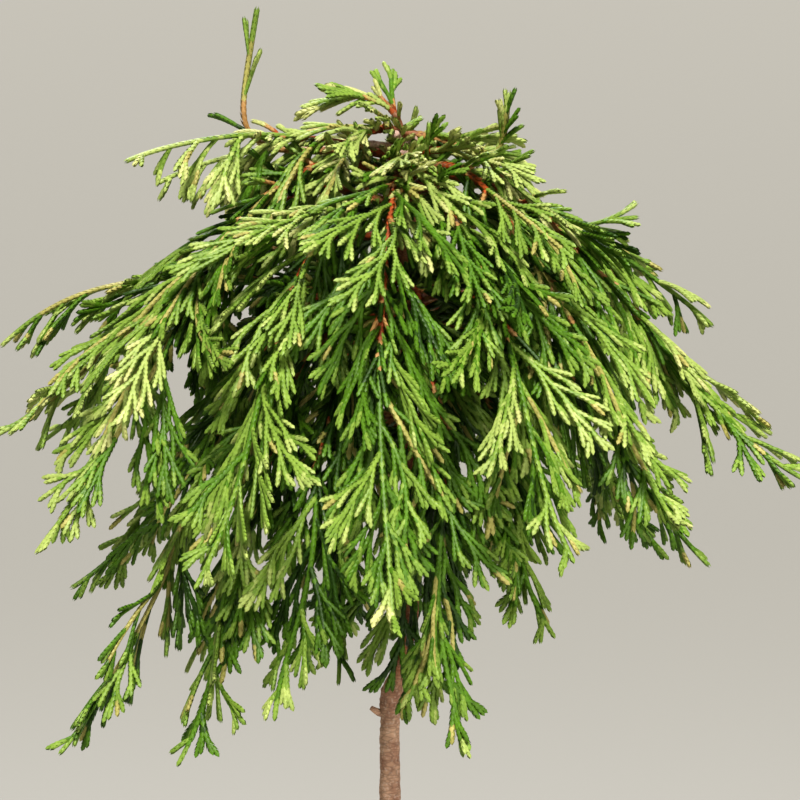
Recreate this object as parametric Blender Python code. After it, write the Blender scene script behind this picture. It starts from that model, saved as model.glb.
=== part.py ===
# Potted western red cedar: a weeping crown grafted on a bare stem, in a plain clay pot.
# Lengths are metres, +Z is up, and the origin is the middle of the pot's flat underside.
# The plant's front faces -Y. Azimuths turn from +X towards +Y.

import math
import random
from collections import namedtuple

import bmesh
import bpy
from mathutils import Matrix, Vector
from mathutils.bvhtree import BVHTree

MM = 0.001
DOWN = Vector((0.0, 0.0, -1.0))

# Clearance between neighbouring pieces
GAP = 0.0003

# Edges flatter than this angle are shaded smooth
SMOOTH_ANGLE = 40.0

# Pot
POT_SIDES = 28
POT_HEIGHT = 0.190
POT_BASE_RADIUS = 0.0775
POT_TOP_RADIUS = 0.104
POT_WALL = 0.0065
POT_FLOOR = 0.010
RIM_DEPTH = 0.034
RIM_PROUD = 0.0055
RIM_EASE = 0.0022
DRAIN_HOLES = 3
DRAIN_SIDES = 12
DRAIN_RADIUS = 0.007
DRAIN_CIRCLE = 0.036
DRAIN_FIRST_TURN = 30.0

# Compost, level round the trunk and a little lower at the pot's wall
COMPOST_TOP = 0.165
COMPOST_DIP = 0.004
COMPOST_FLAT_RADIUS = 0.030
COMPOST_SLOPE_RADIUS = 0.060
COMPOST_SLOPE_DIP = 0.0014

# Trunk: rootstock below the graft, the weeping leader above it. The rings of each stretch are
# shares of the flare's height and of the graft's length, or a number of even steps.
TRUNK_SIDES = 10
TRUNK_TOP = 0.858
FLARE_RINGS = (0.0, 0.2, 0.5, 1.0)
STOCK_RINGS = 5
GRAFT_RINGS = (-0.4, 0.0, 0.5, 1.0, 2.0, 3.2)
LEADER_RINGS = 6
ROOTSTOCK_RADIUS = 0.0052
FLARE_RADIUS = 0.0088
FLARE_HEIGHT = 0.035
FLARE_ROOTS = 5
FLARE_RIPPLE = 0.14
GRAFT_HEIGHT = 0.562
GRAFT_SWELL = 0.0012
GRAFT_LENGTH = 0.012
LEADER_RADIUS = 0.0038
LEADER_TOP_RADIUS = 0.0026
GRAFT_STEP = 0.0115
STEP_FROM = GRAFT_HEIGHT - 0.009
STEP_TO = GRAFT_HEIGHT + 0.043
LEADER_LEAN = 0.006
LEAN_FROM = GRAFT_HEIGHT + 0.058

# Dead stub of a shoot cut off below the graft, on the trunk's left
STUB_HEIGHT = 0.551
STUB_PROUD = 0.0048
STUB_CLIMB = 0.0033
STUB_FORWARD = 0.001
STUB_BEND = 0.7
STUB_RADII = (0.0025, 0.0019, 0.00105)

# Boughs
BOUGH_SIDES = 5
BOUGH_RINGS = 5
BOUGH_ROOT_RADIUS = 0.0019
BOUGH_END_RADIUS = 0.0013

# Masses: a stem, with a flat toothed spray for each side shoot. Spacing is a share of a
# spray's length, angles are degrees, and droop is how far a spray turns down at each step.
STEM_SIDES = 3
STEM_RINGS = 5
STEM_ROOT_RADIUS = 0.0019
STEM_END_RADIUS = 0.0015
STEM_OVERRUN = 0.35
SPRAY_SPACING = 0.45
SPACING_SPREAD = 0.15
END_SHARE = 0.45
END_STRETCH = 1.05
SPRAY_CLEAR_OF_ROOT = 0.011
SPRAY_SHORTEST = 0.88
SPRAY_LONGEST = 1.06
SPRAY_GAIN_AT_ROOT = 0.22
SPRAY_ANGLE = 36.0
ANGLE_SPREAD = 9.0
SPRAY_ROLL = 40.0
SPRAY_TWIST = 50.0
SPRAY_DROOP = 0.13
SPRAY_STEP = 0.0135
SPRAY_HALF_WIDTH = 0.0021
SPRAY_HALF_THICKNESS = 0.0008
SPRAY_TAPER = 0.35
SPRAY_NECK = 0.62
TIP_SHARE = 0.26
TOOTH_LENGTH = 0.030
TOOTH_ANGLE = 25.0
TOOTH_STAGGER = 0.45
TOOTH_SAG = 0.10
END_TOOTH_SHARE = 0.62
FULL_SPRAY = 0.060

# Room: how far a mass may stray from its limb, and how a spray that touches something shrinks
# from one try to the next
MASS_SPACE = 0.078
SPACE_POINTS = 9
TRIES = 7
SPRAY_SHRINK = 0.93
SIDE_TOOTH_SHRINK = 0.96
END_TOOTH_SHRINK = 0.85

# One row for each limb, lengths in mm and angles in degrees. Its path leaves the trunk at
# root, climbing at rise, and reaches tip, falling at fall, reach away from the trunk, while
# its azimuth turns by sweep. bough is the bare share of the path, none where the mass springs
# from the trunk. bend is how long its two ends run straight. spray is a side spray's length,
# and lift is how far the side sprays stand up from the limb.
Limb = namedtuple("Limb", "name azimuth sweep root rise reach tip fall bough bend spray lift")
LIMBS = (
    Limb("upper_left", 186, 4, 813, 34, 212, 700, 26, 0.22, 0.38, 64, 0),
    Limb("upper_left_front", 207, 2, 827, 34, 203, 648, 48, 0.22, 0.38, 66, 0),
    Limb("upper_front_left", 236, 3, 806, 43, 190, 640, 52, 0.20, 0.38, 68, 0),
    Limb("upper_front", 265, 3, 820, 38, 180, 622, 60, 0.20, 0.38, 66, 0),
    Limb("upper_front_right", 293, 6, 813, 40, 176, 652, 55, 0.20, 0.38, 66, 0),
    Limb("upper_right_front", 314, 5, 827, 34, 182, 664, 46, 0.22, 0.38, 64, 0),
    Limb("upper_right", 346, 4, 834, 4, 213, 676, 28, 0.22, 0.38, 64, 0),
    Limb("upper_right_back", 6, 8, 806, 24, 169, 752, 40, 0.22, 0.38, 60, 14),
    Limb("upper_back_right", 40, 5, 820, 40, 195, 694, 44, 0.22, 0.38, 64, 0),
    Limb("upper_back", 68, 5, 813, 40, 190, 670, 48, 0.20, 0.38, 66, 0),
    Limb("upper_back_middle", 95, 4, 827, 38, 192, 664, 50, 0.20, 0.38, 66, 0),
    Limb("upper_back_left", 121, 4, 806, 43, 190, 672, 48, 0.20, 0.38, 66, 0),
    Limb("upper_left_back", 147, 4, 799, 8, 226, 684, 34, 0.22, 0.38, 64, 0),
    Limb("left_whip", 169, 3, 778, -6, 214, 742, 44, 0.30, 0.38, 36, -30),
    Limb("lower_left", 197, 2, 764, 30, 186, 542, 44, 0.26, 0.38, 48, 0),
    Limb("lower_left_front", 222, 3, 750, 30, 155, 544, 62, 0.24, 0.38, 58, 0),
    Limb("lower_front_left", 242, -5, 757, 27, 120, 566, 74, 0.0, 0.38, 58, 0),
    Limb("lower_front", 281, 4, 771, 20, 106, 548, 76, 0.0, 0.38, 54, 0),
    Limb("lower_right_front", 308, 3, 750, 32, 108, 604, 62, 0.0, 0.38, 52, 0),
    Limb("lower_right", 347, 4, 764, 28, 158, 632, 44, 0.0, 0.38, 58, 0),
    Limb("lower_right_back", 28, 3, 757, 32, 162, 626, 46, 0.0, 0.38, 58, 0),
    Limb("lower_back_right", 62, 4, 771, 24, 150, 590, 56, 0.0, 0.38, 58, 0),
    Limb("lower_back", 100, 4, 750, 32, 148, 570, 58, 0.0, 0.38, 58, 0),
    Limb("lower_back_left", 136, 3, 771, 24, 152, 562, 56, 0.0, 0.38, 58, 0),
    Limb("lower_left_back", 167, 3, 757, 30, 178, 614, 32, 0.0, 0.38, 58, 0),
    Limb("inner_left", 205, 6, 706, 20, 46, 572, 78, 0.0, 0.38, 50, 0),
    Limb("inner_right", 284, -20, 700, 20, 44, 556, 78, 0.0, 0.38, 50, 0),
    Limb("inner_back", 75, 6, 703, 20, 58, 552, 78, 0.0, 0.38, 50, 0),
    Limb("top_left_fan", 197, 2, 841, 16, 146, 841, 20, 0.24, 0.38, 56, -22),
    Limb("top_hump", 172, 10, 857, 74, 50, 862, 40, 0.0, 0.45, 35, 22),
    Limb("top_left", 136, 32, 844, 4, 128, 828, 30, 0.0, 0.38, 44, -10),
    Limb("top_back", 74, 5, 841, 18, 84, 832, 30, 0.0, 0.38, 38, 22),
    Limb("top_right", 22, 6, 846, 10, 84, 820, 46, 0.0, 0.38, 38, 16),
    Limb("top_front_left", 232, 5, 855, 14, 88, 800, 46, 0.0, 0.38, 38, 8),
    Limb("top_front", 270, 5, 834, 40, 92, 788, 52, 0.0, 0.38, 40, 8),
    Limb("top_right_fan", 333, 5, 841, 24, 96, 798, 46, 0.0, 0.38, 40, 12),
    Limb("right_fan", 352, 3, 823, -8, 121, 818, -36, 0.0, 0.38, 34, 24),
    Limb("left_shoot", 172, 0, 848, -4, 76, 918, -102, 0.46, 0.80, 26, 0),
    Limb("right_shoot", 352, 0, 855, -8, 57, 875, -84, 0.0, 0.80, 24, 14),
)

# Colour, roughness and metallic value of each finish
FINISHES = {
    "terracotta": ((0.55, 0.25, 0.14), 0.85, 0.0),
    "compost": ((0.045, 0.030, 0.020), 0.95, 0.0),
    "bark": ((0.20, 0.12, 0.075), 0.80, 0.0),
    "young_bark": ((0.38, 0.14, 0.06), 0.65, 0.0),
    "foliage": ((0.16, 0.33, 0.06), 0.55, 0.0),
}


# Objects and materials

def clear_scene():
    for item in list(bpy.data.objects):
        bpy.data.objects.remove(item, do_unlink=True)


def finish(name):
    material = bpy.data.materials.get(name)
    if material is None:
        colour, roughness, metallic = FINISHES[name]
        material = bpy.data.materials.new(name)
        material.use_nodes = True
        shader = material.node_tree.nodes["Principled BSDF"]
        shader.inputs["Base Color"].default_value = (*colour, 1.0)
        shader.inputs["Roughness"].default_value = roughness
        shader.inputs["Metallic"].default_value = metallic
    return material


def new_object(name, points, faces, finish_name):
    mesh = bpy.data.meshes.new(name)
    mesh.from_pydata([tuple(point) for point in points], [], faces)
    cleaner = bmesh.new()
    cleaner.from_mesh(mesh)
    bmesh.ops.recalc_face_normals(cleaner, faces=cleaner.faces)
    cleaner.to_mesh(mesh)
    cleaner.free()
    mesh.materials.append(finish(finish_name))
    mesh.shade_smooth()
    mesh.set_sharp_from_angle(angle=math.radians(SMOOTH_ANGLE))
    item = bpy.data.objects.new(name, mesh)
    bpy.context.scene.collection.objects.link(item)
    return item


def as_cutter(item):
    item.hide_render = True
    item.display_type = "WIRE"
    return item


def cut_by(item, cutter):
    cut = item.modifiers.new("cut_by_" + cutter.name, "BOOLEAN")
    cut.operation = "DIFFERENCE"
    cut.solver = "EXACT"
    cut.object = cutter


def fuse(item, pieces):
    # One union joins every piece to the item, and the loose pieces then go.
    group = bpy.data.collections.new(item.name + "_pieces")
    bpy.context.scene.collection.children.link(group)
    for piece in pieces:
        bpy.context.scene.collection.objects.unlink(piece)
        group.objects.link(piece)
    union = item.modifiers.new("fuse", "BOOLEAN")
    union.operation = "UNION"
    union.solver = "EXACT"
    union.operand_type = "COLLECTION"
    union.collection = group
    depsgraph = bpy.context.evaluated_depsgraph_get()
    fused = bpy.data.meshes.new_from_object(item.evaluated_get(depsgraph))
    item.modifiers.remove(union)
    item.data = fused
    for piece in pieces:
        bpy.data.objects.remove(piece, do_unlink=True)
    bpy.data.collections.remove(group)
    keep_largest_body(fused)


def keep_largest_body(mesh):
    work = bmesh.new()
    work.from_mesh(mesh)
    left = set(work.verts)
    bodies = []
    while left:
        stack = [left.pop()]
        body = set(stack)
        while stack:
            for edge in stack.pop().link_edges:
                for vertex in edge.verts:
                    if vertex in left:
                        left.discard(vertex)
                        body.add(vertex)
                        stack.append(vertex)
        bodies.append(body)
    bodies.sort(key=len, reverse=True)
    for scrap in bodies[1:]:
        bmesh.ops.delete(work, geom=list(scrap), context="VERTS")
    work.to_mesh(mesh)
    work.free()


# Basic shapes

def turned(name, profile, sides, finish_name):
    # A profile of (radius, height) pairs, turned about Z. Its ends are closed by flat faces.
    points = []
    faces = []
    for radius, height in profile:
        for side in range(sides):
            turn = 2.0 * math.pi * side / sides
            points.append((radius * math.cos(turn), radius * math.sin(turn), height))
    for ring in range(len(profile) - 1):
        for side in range(sides):
            after = (side + 1) % sides
            low = ring * sides
            high = low + sides
            faces.append((low + side, low + after, high + after, high + side))
    faces.append(tuple(reversed(range(sides))))
    faces.append(tuple(range((len(profile) - 1) * sides, len(profile) * sides)))
    return new_object(name, points, faces, finish_name)


def tube_shape(path, radii, sides, headings=None):
    # Rings of points square to the path, and the faces that close them into a body.
    points = []
    across = None
    for index, centre in enumerate(path):
        if headings:
            ahead = headings[index]
        else:
            ahead = path[min(index + 1, len(path) - 1)] - path[max(index - 1, 0)]
            ahead.normalize()
        if across is None:
            across = ahead.orthogonal().normalized()
        across = (across - ahead * across.dot(ahead)).normalized()
        up = ahead.cross(across)
        for side in range(sides):
            turn = 2.0 * math.pi * side / sides
            offset = across * math.cos(turn) + up * math.sin(turn)
            points.append(centre + offset * radii[index])
    faces = []
    for ring in range(len(path) - 1):
        low = ring * sides
        for side in range(sides):
            after = (side + 1) % sides
            faces.append((low + side, low + after, low + sides + after, low + sides + side))
    faces.append(tuple(reversed(range(sides))))
    faces.append(tuple(range((len(path) - 1) * sides, len(path) * sides)))
    return points, faces


def blend(low, high, value):
    # A smooth step from 0 at low to 1 at high
    share = min(1.0, max(0.0, (value - low) / (high - low)))
    return share * share * (3.0 - 2.0 * share)


# Pot and compost

def wall_radius(height):
    return POT_BASE_RADIUS + (POT_TOP_RADIUS - POT_BASE_RADIUS) * height / POT_HEIGHT


def make_pot():
    rim_low = POT_HEIGHT - RIM_DEPTH
    rim_radius = POT_TOP_RADIUS + RIM_PROUD
    profile = (
        (POT_BASE_RADIUS - RIM_EASE, 0.0),
        (wall_radius(RIM_EASE), RIM_EASE),
        (wall_radius(rim_low), rim_low),
        (rim_radius - RIM_EASE, rim_low + RIM_EASE),
        (rim_radius, rim_low + 2.0 * RIM_EASE),
        (rim_radius, POT_HEIGHT - RIM_EASE),
        (rim_radius - RIM_EASE, POT_HEIGHT),
        (POT_TOP_RADIUS - POT_WALL + RIM_EASE, POT_HEIGHT),
        (POT_TOP_RADIUS - POT_WALL, POT_HEIGHT - RIM_EASE),
        (wall_radius(POT_FLOOR) - POT_WALL, POT_FLOOR),
    )
    pot = turned("pot", profile, POT_SIDES, "terracotta")
    for index in range(DRAIN_HOLES):
        turn = math.radians(DRAIN_FIRST_TURN) + 2.0 * math.pi * index / DRAIN_HOLES
        hole = turned(
            "drain_cutter_%d" % (index + 1),
            ((DRAIN_RADIUS, -POT_FLOOR), (DRAIN_RADIUS, 2.0 * POT_FLOOR)),
            DRAIN_SIDES,
            "terracotta",
        )
        hole.location = (DRAIN_CIRCLE * math.cos(turn), DRAIN_CIRCLE * math.sin(turn), 0.0)
        cut_by(pot, as_cutter(hole))


def make_compost():
    low = POT_FLOOR + GAP
    high = COMPOST_TOP - COMPOST_DIP
    inner = POT_TOP_RADIUS - POT_WALL
    inner_low = wall_radius(POT_FLOOR) - POT_WALL
    wall_run = POT_HEIGHT - RIM_EASE - POT_FLOOR
    high_radius = inner_low + (inner - inner_low) * (high - POT_FLOOR) / wall_run
    profile = (
        (inner_low - GAP, low),
        (high_radius - GAP, high),
        (COMPOST_SLOPE_RADIUS, COMPOST_TOP - COMPOST_SLOPE_DIP),
        (COMPOST_FLAT_RADIUS, COMPOST_TOP),
    )
    turned("compost", profile, POT_SIDES, "compost")


# Trunk

def trunk_centre(height):
    # The leader steps to the right above the graft, then leans back over the pot.
    right = GRAFT_STEP * blend(STEP_FROM, STEP_TO, height)
    back = LEADER_LEAN * blend(LEAN_FROM, TRUNK_TOP, height)
    return Vector((right - back, 0.0, height))


def trunk_radius(height):
    if height < GRAFT_HEIGHT:
        flare = 1.0 - blend(COMPOST_TOP, COMPOST_TOP + FLARE_HEIGHT, height)
        radius = ROOTSTOCK_RADIUS + (FLARE_RADIUS - ROOTSTOCK_RADIUS) * flare
    else:
        above = blend(GRAFT_HEIGHT, GRAFT_HEIGHT + GRAFT_LENGTH, height)
        share = (height - GRAFT_HEIGHT) / (TRUNK_TOP - GRAFT_HEIGHT)
        leader = LEADER_RADIUS + (LEADER_TOP_RADIUS - LEADER_RADIUS) * share
        radius = ROOTSTOCK_RADIUS + (leader - ROOTSTOCK_RADIUS) * above
    swell = max(0.0, 1.0 - abs(height - GRAFT_HEIGHT) / GRAFT_LENGTH)
    return radius + GRAFT_SWELL * swell


def trunk_heights():
    # Rings close together at the flare and the graft, and far apart between and above them
    foot = COMPOST_TOP + GAP
    flare = [foot + FLARE_HEIGHT * share for share in FLARE_RINGS]
    stock = spread(flare[-1], GRAFT_HEIGHT - GRAFT_LENGTH, STOCK_RINGS)[1:]
    graft = [GRAFT_HEIGHT + GRAFT_LENGTH * share for share in GRAFT_RINGS]
    leader = spread(graft[-1], TRUNK_TOP, LEADER_RINGS)[1:]
    return flare + stock + graft + leader


def trunk_shape(grown=0.0):
    # grown swells the whole trunk outwards, for the space that its neighbours leave round it
    points = []
    heights = trunk_heights()
    if grown:
        heights[-1] += grown
    for height in heights:
        centre = trunk_centre(height)
        ripple = FLARE_RIPPLE * (1.0 - blend(COMPOST_TOP, COMPOST_TOP + FLARE_HEIGHT, height))
        for side in range(TRUNK_SIDES):
            turn = 2.0 * math.pi * side / TRUNK_SIDES
            radius = trunk_radius(height) * (1.0 + ripple * math.cos(FLARE_ROOTS * turn)) + grown
            offset = Vector((math.cos(turn), math.sin(turn), 0.0))
            points.append(centre + offset * radius)
    faces = tube_shape([Vector((0.0, 0.0, height)) for height in heights],
                       [1.0] * len(heights), TRUNK_SIDES)[1]
    return points, faces


def make_trunk():
    points, faces = trunk_shape()
    trunk = new_object("trunk", points, faces, "bark")
    start = trunk_centre(STUB_HEIGHT)
    end = start + Vector((-ROOTSTOCK_RADIUS - STUB_PROUD, -STUB_FORWARD, STUB_CLIMB))
    middle = start.lerp(end, STUB_BEND)
    points, faces = tube_shape([start, middle, end], STUB_RADII, BOUGH_SIDES)
    fuse(trunk, [new_object("dead_stub", points, faces, "bark")])
    return trunk


# Limb paths

def limb_point(limb, share):
    reach = limb.reach * MM
    drop = (limb.tip - limb.root) * MM
    pull = limb.bend * math.hypot(reach, drop)
    rise = math.radians(limb.rise)
    fall = math.radians(limb.fall)
    root = Vector((0.0, limb.root * MM))
    tip = Vector((reach, limb.root * MM + drop))
    leaving = root + pull * Vector((math.cos(rise), math.sin(rise)))
    arriving = tip - pull * Vector((math.cos(fall), -math.sin(fall)))
    rest = 1.0 - share
    flat = (root * rest ** 3 + leaving * 3.0 * rest ** 2 * share
            + arriving * 3.0 * rest * share ** 2 + tip * share ** 3)
    turn = math.radians(limb.azimuth + limb.sweep * share)
    start = trunk_centre(limb.root * MM)
    return Vector((start.x + flat.x * math.cos(turn), start.y + flat.x * math.sin(turn), flat.y))


def limb_length(limb, low=0.0, high=1.0, steps=40):
    total = 0.0
    before = limb_point(limb, low)
    for step in range(1, steps + 1):
        here = limb_point(limb, low + (high - low) * step / steps)
        total += (here - before).length
        before = here
    return total


def limb_heading(limb, share, step=0.004):
    ahead = limb_point(limb, min(1.0, share + step)) - limb_point(limb, max(0.0, share - step))
    return ahead.normalized()


def limb_facing(limb, share):
    # Square to the limb, on its upper and outer side
    heading = limb_heading(limb, share)
    turn = math.radians(limb.azimuth + limb.sweep * share)
    across = Vector((-math.sin(turn), math.cos(turn), 0.0))
    return heading.cross(across).normalized() * -1.0


def limb_tube(limb, low, high, rings, root_radius, end_radius, sides):
    shares = spread(low, high, rings)
    path = [limb_point(limb, share) for share in shares]
    headings = [limb_heading(limb, share) for share in shares]
    return tube_shape(path, spread(root_radius, end_radius, rings), sides, headings)


def share_beyond(limb, share, distance, step=0.002):
    speed = (limb_point(limb, share + step) - limb_point(limb, share)).length / step
    return share + distance / speed


def spread(low, high, count):
    return [low + (high - low) * index / (count - 1) for index in range(count)]


# Boughs

def bough_shape(limb):
    return limb_tube(limb, 0.0, limb.bough, BOUGH_RINGS,
                     BOUGH_ROOT_RADIUS, BOUGH_END_RADIUS, BOUGH_SIDES)


# Sprays: a narrow blade with teeth along both edges and a pointed end

def spray_shape(spine, tip, facing, tooth_length, grown=0.0):
    # The right edge's corners lie a little further on than the left's, so the teeth alternate.
    half_width = SPRAY_HALF_WIDTH + grown
    half_thickness = SPRAY_HALF_THICKNESS + grown
    slant = math.radians(TOOTH_ANGLE)
    sections = len(spine)
    points = []
    faces = []
    rows = []
    for index, centre in enumerate(spine):
        run = (spine[index + 1] if index + 1 < sections else tip) - centre
        ahead = run.normalized()
        across = facing.cross(ahead).normalized()
        up = ahead.cross(across)
        taper = 1.0 - SPRAY_TAPER * index / sections
        narrow = SPRAY_NECK if index == 0 else 1.0
        rows.append((ahead, across))
        for side in (1.0, -1.0):
            staggered = side < 0.0 and 0 < index < sections - 1
            shift = run * TOOTH_STAGGER if staggered else Vector()
            for level in (1.0, -1.0):
                offset = across * side * half_width * narrow + up * level * half_thickness
                points.append(centre + shift + offset * taper)
    for index in range(sections - 1):
        low = index * 4
        high = low + 4
        ahead, across = rows[index]
        faces.append((low, low + 2, high + 2, high))
        faces.append((low + 3, low + 1, high + 1, high + 3))
        middle = math.sin(math.pi * (index + 1.0) / sections)
        share = END_TOOTH_SHARE + (1.0 - END_TOOTH_SHARE) * middle
        for side, corner in ((1.0, 0), (-1.0, 2)):
            if index == 0:
                # The first stretch is bare, and sinks into the stem.
                faces.append((low + corner, high + corner, high + corner + 1, low + corner + 1))
                continue
            base = (points[low + corner] + points[low + corner + 1]) * 0.5
            reach = ahead * math.cos(slant) + across * side * math.sin(slant)
            length = tooth_length * share + grown
            points.append(base + reach * length + DOWN * length * TOOTH_SAG)
            tooth = len(points) - 1
            corners = ((low, high), (high + 1, low + 1), (low + 1, low), (high, high + 1))
            for first, second in corners:
                faces.append((first + corner, second + corner, tooth))
    points.append(tip + (tip - spine[-1]).normalized() * grown)
    end = len(points) - 1
    last = (sections - 1) * 4
    for first, second in ((0, 2), (2, 3), (3, 1), (1, 0)):
        faces.append((last + first, last + second, end))
    faces.append((0, 1, 3, 2))
    return points, faces


def end_spray(limb, length):
    # The limb's last stretch, along its own path up to its tip
    sections = max(2, round(length * (1.0 - TIP_SHARE) / SPRAY_STEP)) + 1
    start = 1.0 - length / limb_length(limb)
    shares = spread(start, 1.0 - (1.0 - start) * TIP_SHARE, sections)
    spine = [limb_point(limb, share) for share in shares]
    return spine, limb_point(limb, 1.0), limb_facing(limb, start)


def side_spray(limb, share, side, length, rng):
    # A shoot that leaves the limb sideways and then bends down under its own weight
    heading = limb_heading(limb, share)
    facing = limb_facing(limb, share)
    across = facing.cross(heading).normalized()
    angle = math.radians(SPRAY_ANGLE + rng.uniform(-ANGLE_SPREAD, ANGLE_SPREAD))
    roll = math.radians(limb.lift + rng.uniform(-SPRAY_ROLL, SPRAY_ROLL))
    outward = across * side * math.cos(roll) + facing * math.sin(roll)
    heading = heading * math.cos(angle) + outward * math.sin(angle)
    twist = Matrix.Rotation(math.radians(rng.uniform(-SPRAY_TWIST, SPRAY_TWIST)), 3, heading)
    facing = twist @ (facing - heading * facing.dot(heading)).normalized()
    sections = max(2, round(length * (1.0 - TIP_SHARE) / SPRAY_STEP)) + 1
    step = length * (1.0 - TIP_SHARE) / (sections - 1)
    spine = [limb_point(limb, share)]
    for _ in range(sections - 1):
        spine.append(spine[-1] + heading * step)
        heading = (heading + DOWN * SPRAY_DROOP).normalized()
    return spine, spine[-1] + heading * length * TIP_SHARE, facing


# Room: a piece of one node is kept only where it is clear of every other node's pieces

Piece = namedtuple("Piece", "owner tree low high")


def as_piece(owner, points, faces):
    # A stem's owner is its limb. A spray's own name keeps it clear of its sister sprays too.
    low = Vector((min(point[axis] for point in points) for axis in range(3)))
    high = Vector((max(point[axis] for point in points) for axis in range(3)))
    return Piece(owner, BVHTree.FromPolygons(points, faces), low, high)


def touches(piece, others):
    for other in others:
        if other.owner == piece.owner.split(":")[0]:
            continue
        if any(piece.low[axis] > other.high[axis] or piece.high[axis] < other.low[axis]
               for axis in range(3)):
            continue
        if piece.tree.overlap(other.tree):
            return True
    return False


def leaves_space(limb, points):
    # A mass keeps within MASS_SPACE of its own limb.
    path = [limb_point(limb, share) for share in spread(limb.bough, 1.0, SPACE_POINTS)]
    for point in points:
        if min((point - place).length for place in path) > MASS_SPACE:
            return True
    return False


# Masses

class Mass:
    def __init__(self, limb):
        self.limb = limb
        self.rng = random.Random(limb.name)
        self.length = limb_length(limb)
        self.side = self.rng.choice((1.0, -1.0))
        leafy = self.length * (1.0 - limb.bough)
        self.end_length = min(limb.spray * MM * END_STRETCH, leafy * END_SHARE)
        self.stem_end = 1.0 - self.end_length / self.length
        self.spacing = SPRAY_SPACING * limb.spray * MM
        self.next_at = self.stem_end * self.length - self.spacing * 0.5
        self.sprays = []

    def stem(self):
        first = 0.0
        if self.limb.bough:
            first = share_beyond(self.limb, self.limb.bough, GAP)
        # The stem runs a little way into the spray that ends it.
        last = self.stem_end + STEM_OVERRUN * (1.0 - self.stem_end)
        return limb_tube(self.limb, first, last, STEM_RINGS,
                         STEM_ROOT_RADIUS, STEM_END_RADIUS, STEM_SIDES)

    def try_spray(self, spine, tip, facing, tooth_length, others):
        guard = spray_shape(spine, tip, facing, tooth_length, GAP)
        if leaves_space(self.limb, guard[0]):
            return False
        name = "%s:%d" % (self.limb.name, len(self.sprays) + 1)
        if touches(as_piece(name, *guard), others):
            return False
        shape = spray_shape(spine, tip, facing, tooth_length)
        self.sprays.append(shape)
        others.append(as_piece(name, *shape))
        return True

    def grow_end(self, others):
        tooth_length = TOOTH_LENGTH * min(1.0, self.end_length / FULL_SPRAY)
        spine, tip, facing = end_spray(self.limb, self.end_length)
        for _ in range(TRIES):
            if self.try_spray(spine, tip, facing, tooth_length, others):
                return
            tooth_length *= END_TOOTH_SHRINK

    def grow_side(self, others):
        # Places the next side spray, from the tip back towards the root. False at the root.
        start = self.limb.bough * self.length + SPRAY_CLEAR_OF_ROOT
        if self.next_at < start:
            return False
        share = self.next_at / self.length
        full = self.limb.spray * MM * (1.0 + SPRAY_GAIN_AT_ROOT * (1.0 - share))
        for trial in range(TRIES):
            length = full * self.rng.uniform(SPRAY_SHORTEST, SPRAY_LONGEST) * SPRAY_SHRINK ** trial
            spine, tip, facing = side_spray(self.limb, share, self.side, length, self.rng)
            tooth_length = TOOTH_LENGTH * min(1.0, length / FULL_SPRAY)
            tooth_length *= SIDE_TOOTH_SHRINK ** trial
            if self.try_spray(spine, tip, facing, tooth_length, others):
                break
        self.side = -self.side
        uneven = self.rng.uniform(1.0 - SPACING_SPREAD, 1.0 + SPACING_SPREAD)
        self.next_at -= self.spacing * uneven
        return True

    def build(self):
        points, faces = self.stem()
        body = new_object("mass_" + self.limb.name, points, faces, "foliage")
        pieces = []
        for index, (points, faces) in enumerate(self.sprays):
            name = "spray_%s_%d" % (self.limb.name, index + 1)
            pieces.append(new_object(name, points, faces, "foliage"))
        fuse(body, pieces)
        return body


def grow_crown(trunk):
    guard_points, guard_faces = trunk_shape(GAP)
    guard = as_cutter(new_object("trunk_guard", guard_points, guard_faces, "bark"))
    fixed = [as_piece("trunk", guard_points, guard_faces)]
    for limb in LIMBS:
        if limb.bough:
            points, faces = bough_shape(limb)
            fixed.append(as_piece("bough_" + limb.name, points, faces))
            bough = new_object("bough_" + limb.name, points, faces, "young_bark")
            cut_by(bough, guard)
    masses = [Mass(limb) for limb in LIMBS]
    for mass in masses:
        fixed.append(as_piece(mass.limb.name, *mass.stem()))
    for mass in masses:
        mass.grow_end(fixed)
    growing = list(masses)
    while growing:
        growing = [mass for mass in growing if mass.grow_side(fixed)]
    for mass in masses:
        body = mass.build()
        if not mass.limb.bough:
            cut_by(body, guard)


def main():
    clear_scene()
    make_pot()
    make_compost()
    trunk = make_trunk()
    grow_crown(trunk)


main()
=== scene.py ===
import math
import random

import bmesh
import bpy
import numpy as np
from mathutils import Matrix, Vector


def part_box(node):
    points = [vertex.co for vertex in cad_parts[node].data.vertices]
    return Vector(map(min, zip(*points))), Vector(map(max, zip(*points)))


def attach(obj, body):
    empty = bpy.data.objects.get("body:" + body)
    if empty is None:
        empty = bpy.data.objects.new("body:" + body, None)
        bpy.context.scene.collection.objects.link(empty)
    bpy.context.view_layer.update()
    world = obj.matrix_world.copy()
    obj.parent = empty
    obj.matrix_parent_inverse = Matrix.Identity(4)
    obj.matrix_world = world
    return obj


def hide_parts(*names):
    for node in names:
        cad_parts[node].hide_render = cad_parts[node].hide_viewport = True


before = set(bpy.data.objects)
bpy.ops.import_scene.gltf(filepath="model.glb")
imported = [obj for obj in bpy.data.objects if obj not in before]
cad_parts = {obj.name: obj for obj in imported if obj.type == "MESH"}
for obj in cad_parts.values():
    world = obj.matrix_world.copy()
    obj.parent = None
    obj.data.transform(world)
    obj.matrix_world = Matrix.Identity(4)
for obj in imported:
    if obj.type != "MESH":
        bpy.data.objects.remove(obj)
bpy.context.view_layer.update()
print("frame loaded with", len(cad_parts), "nodes")

# Weeping western red cedar, grafted on a bare stem, in a plain clay pot.
# Lengths are metres unless a value's note says otherwise. The plant's front faces -Y.
mm = 0.001
down = Vector((0.0, 0.0, -1.0))


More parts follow.
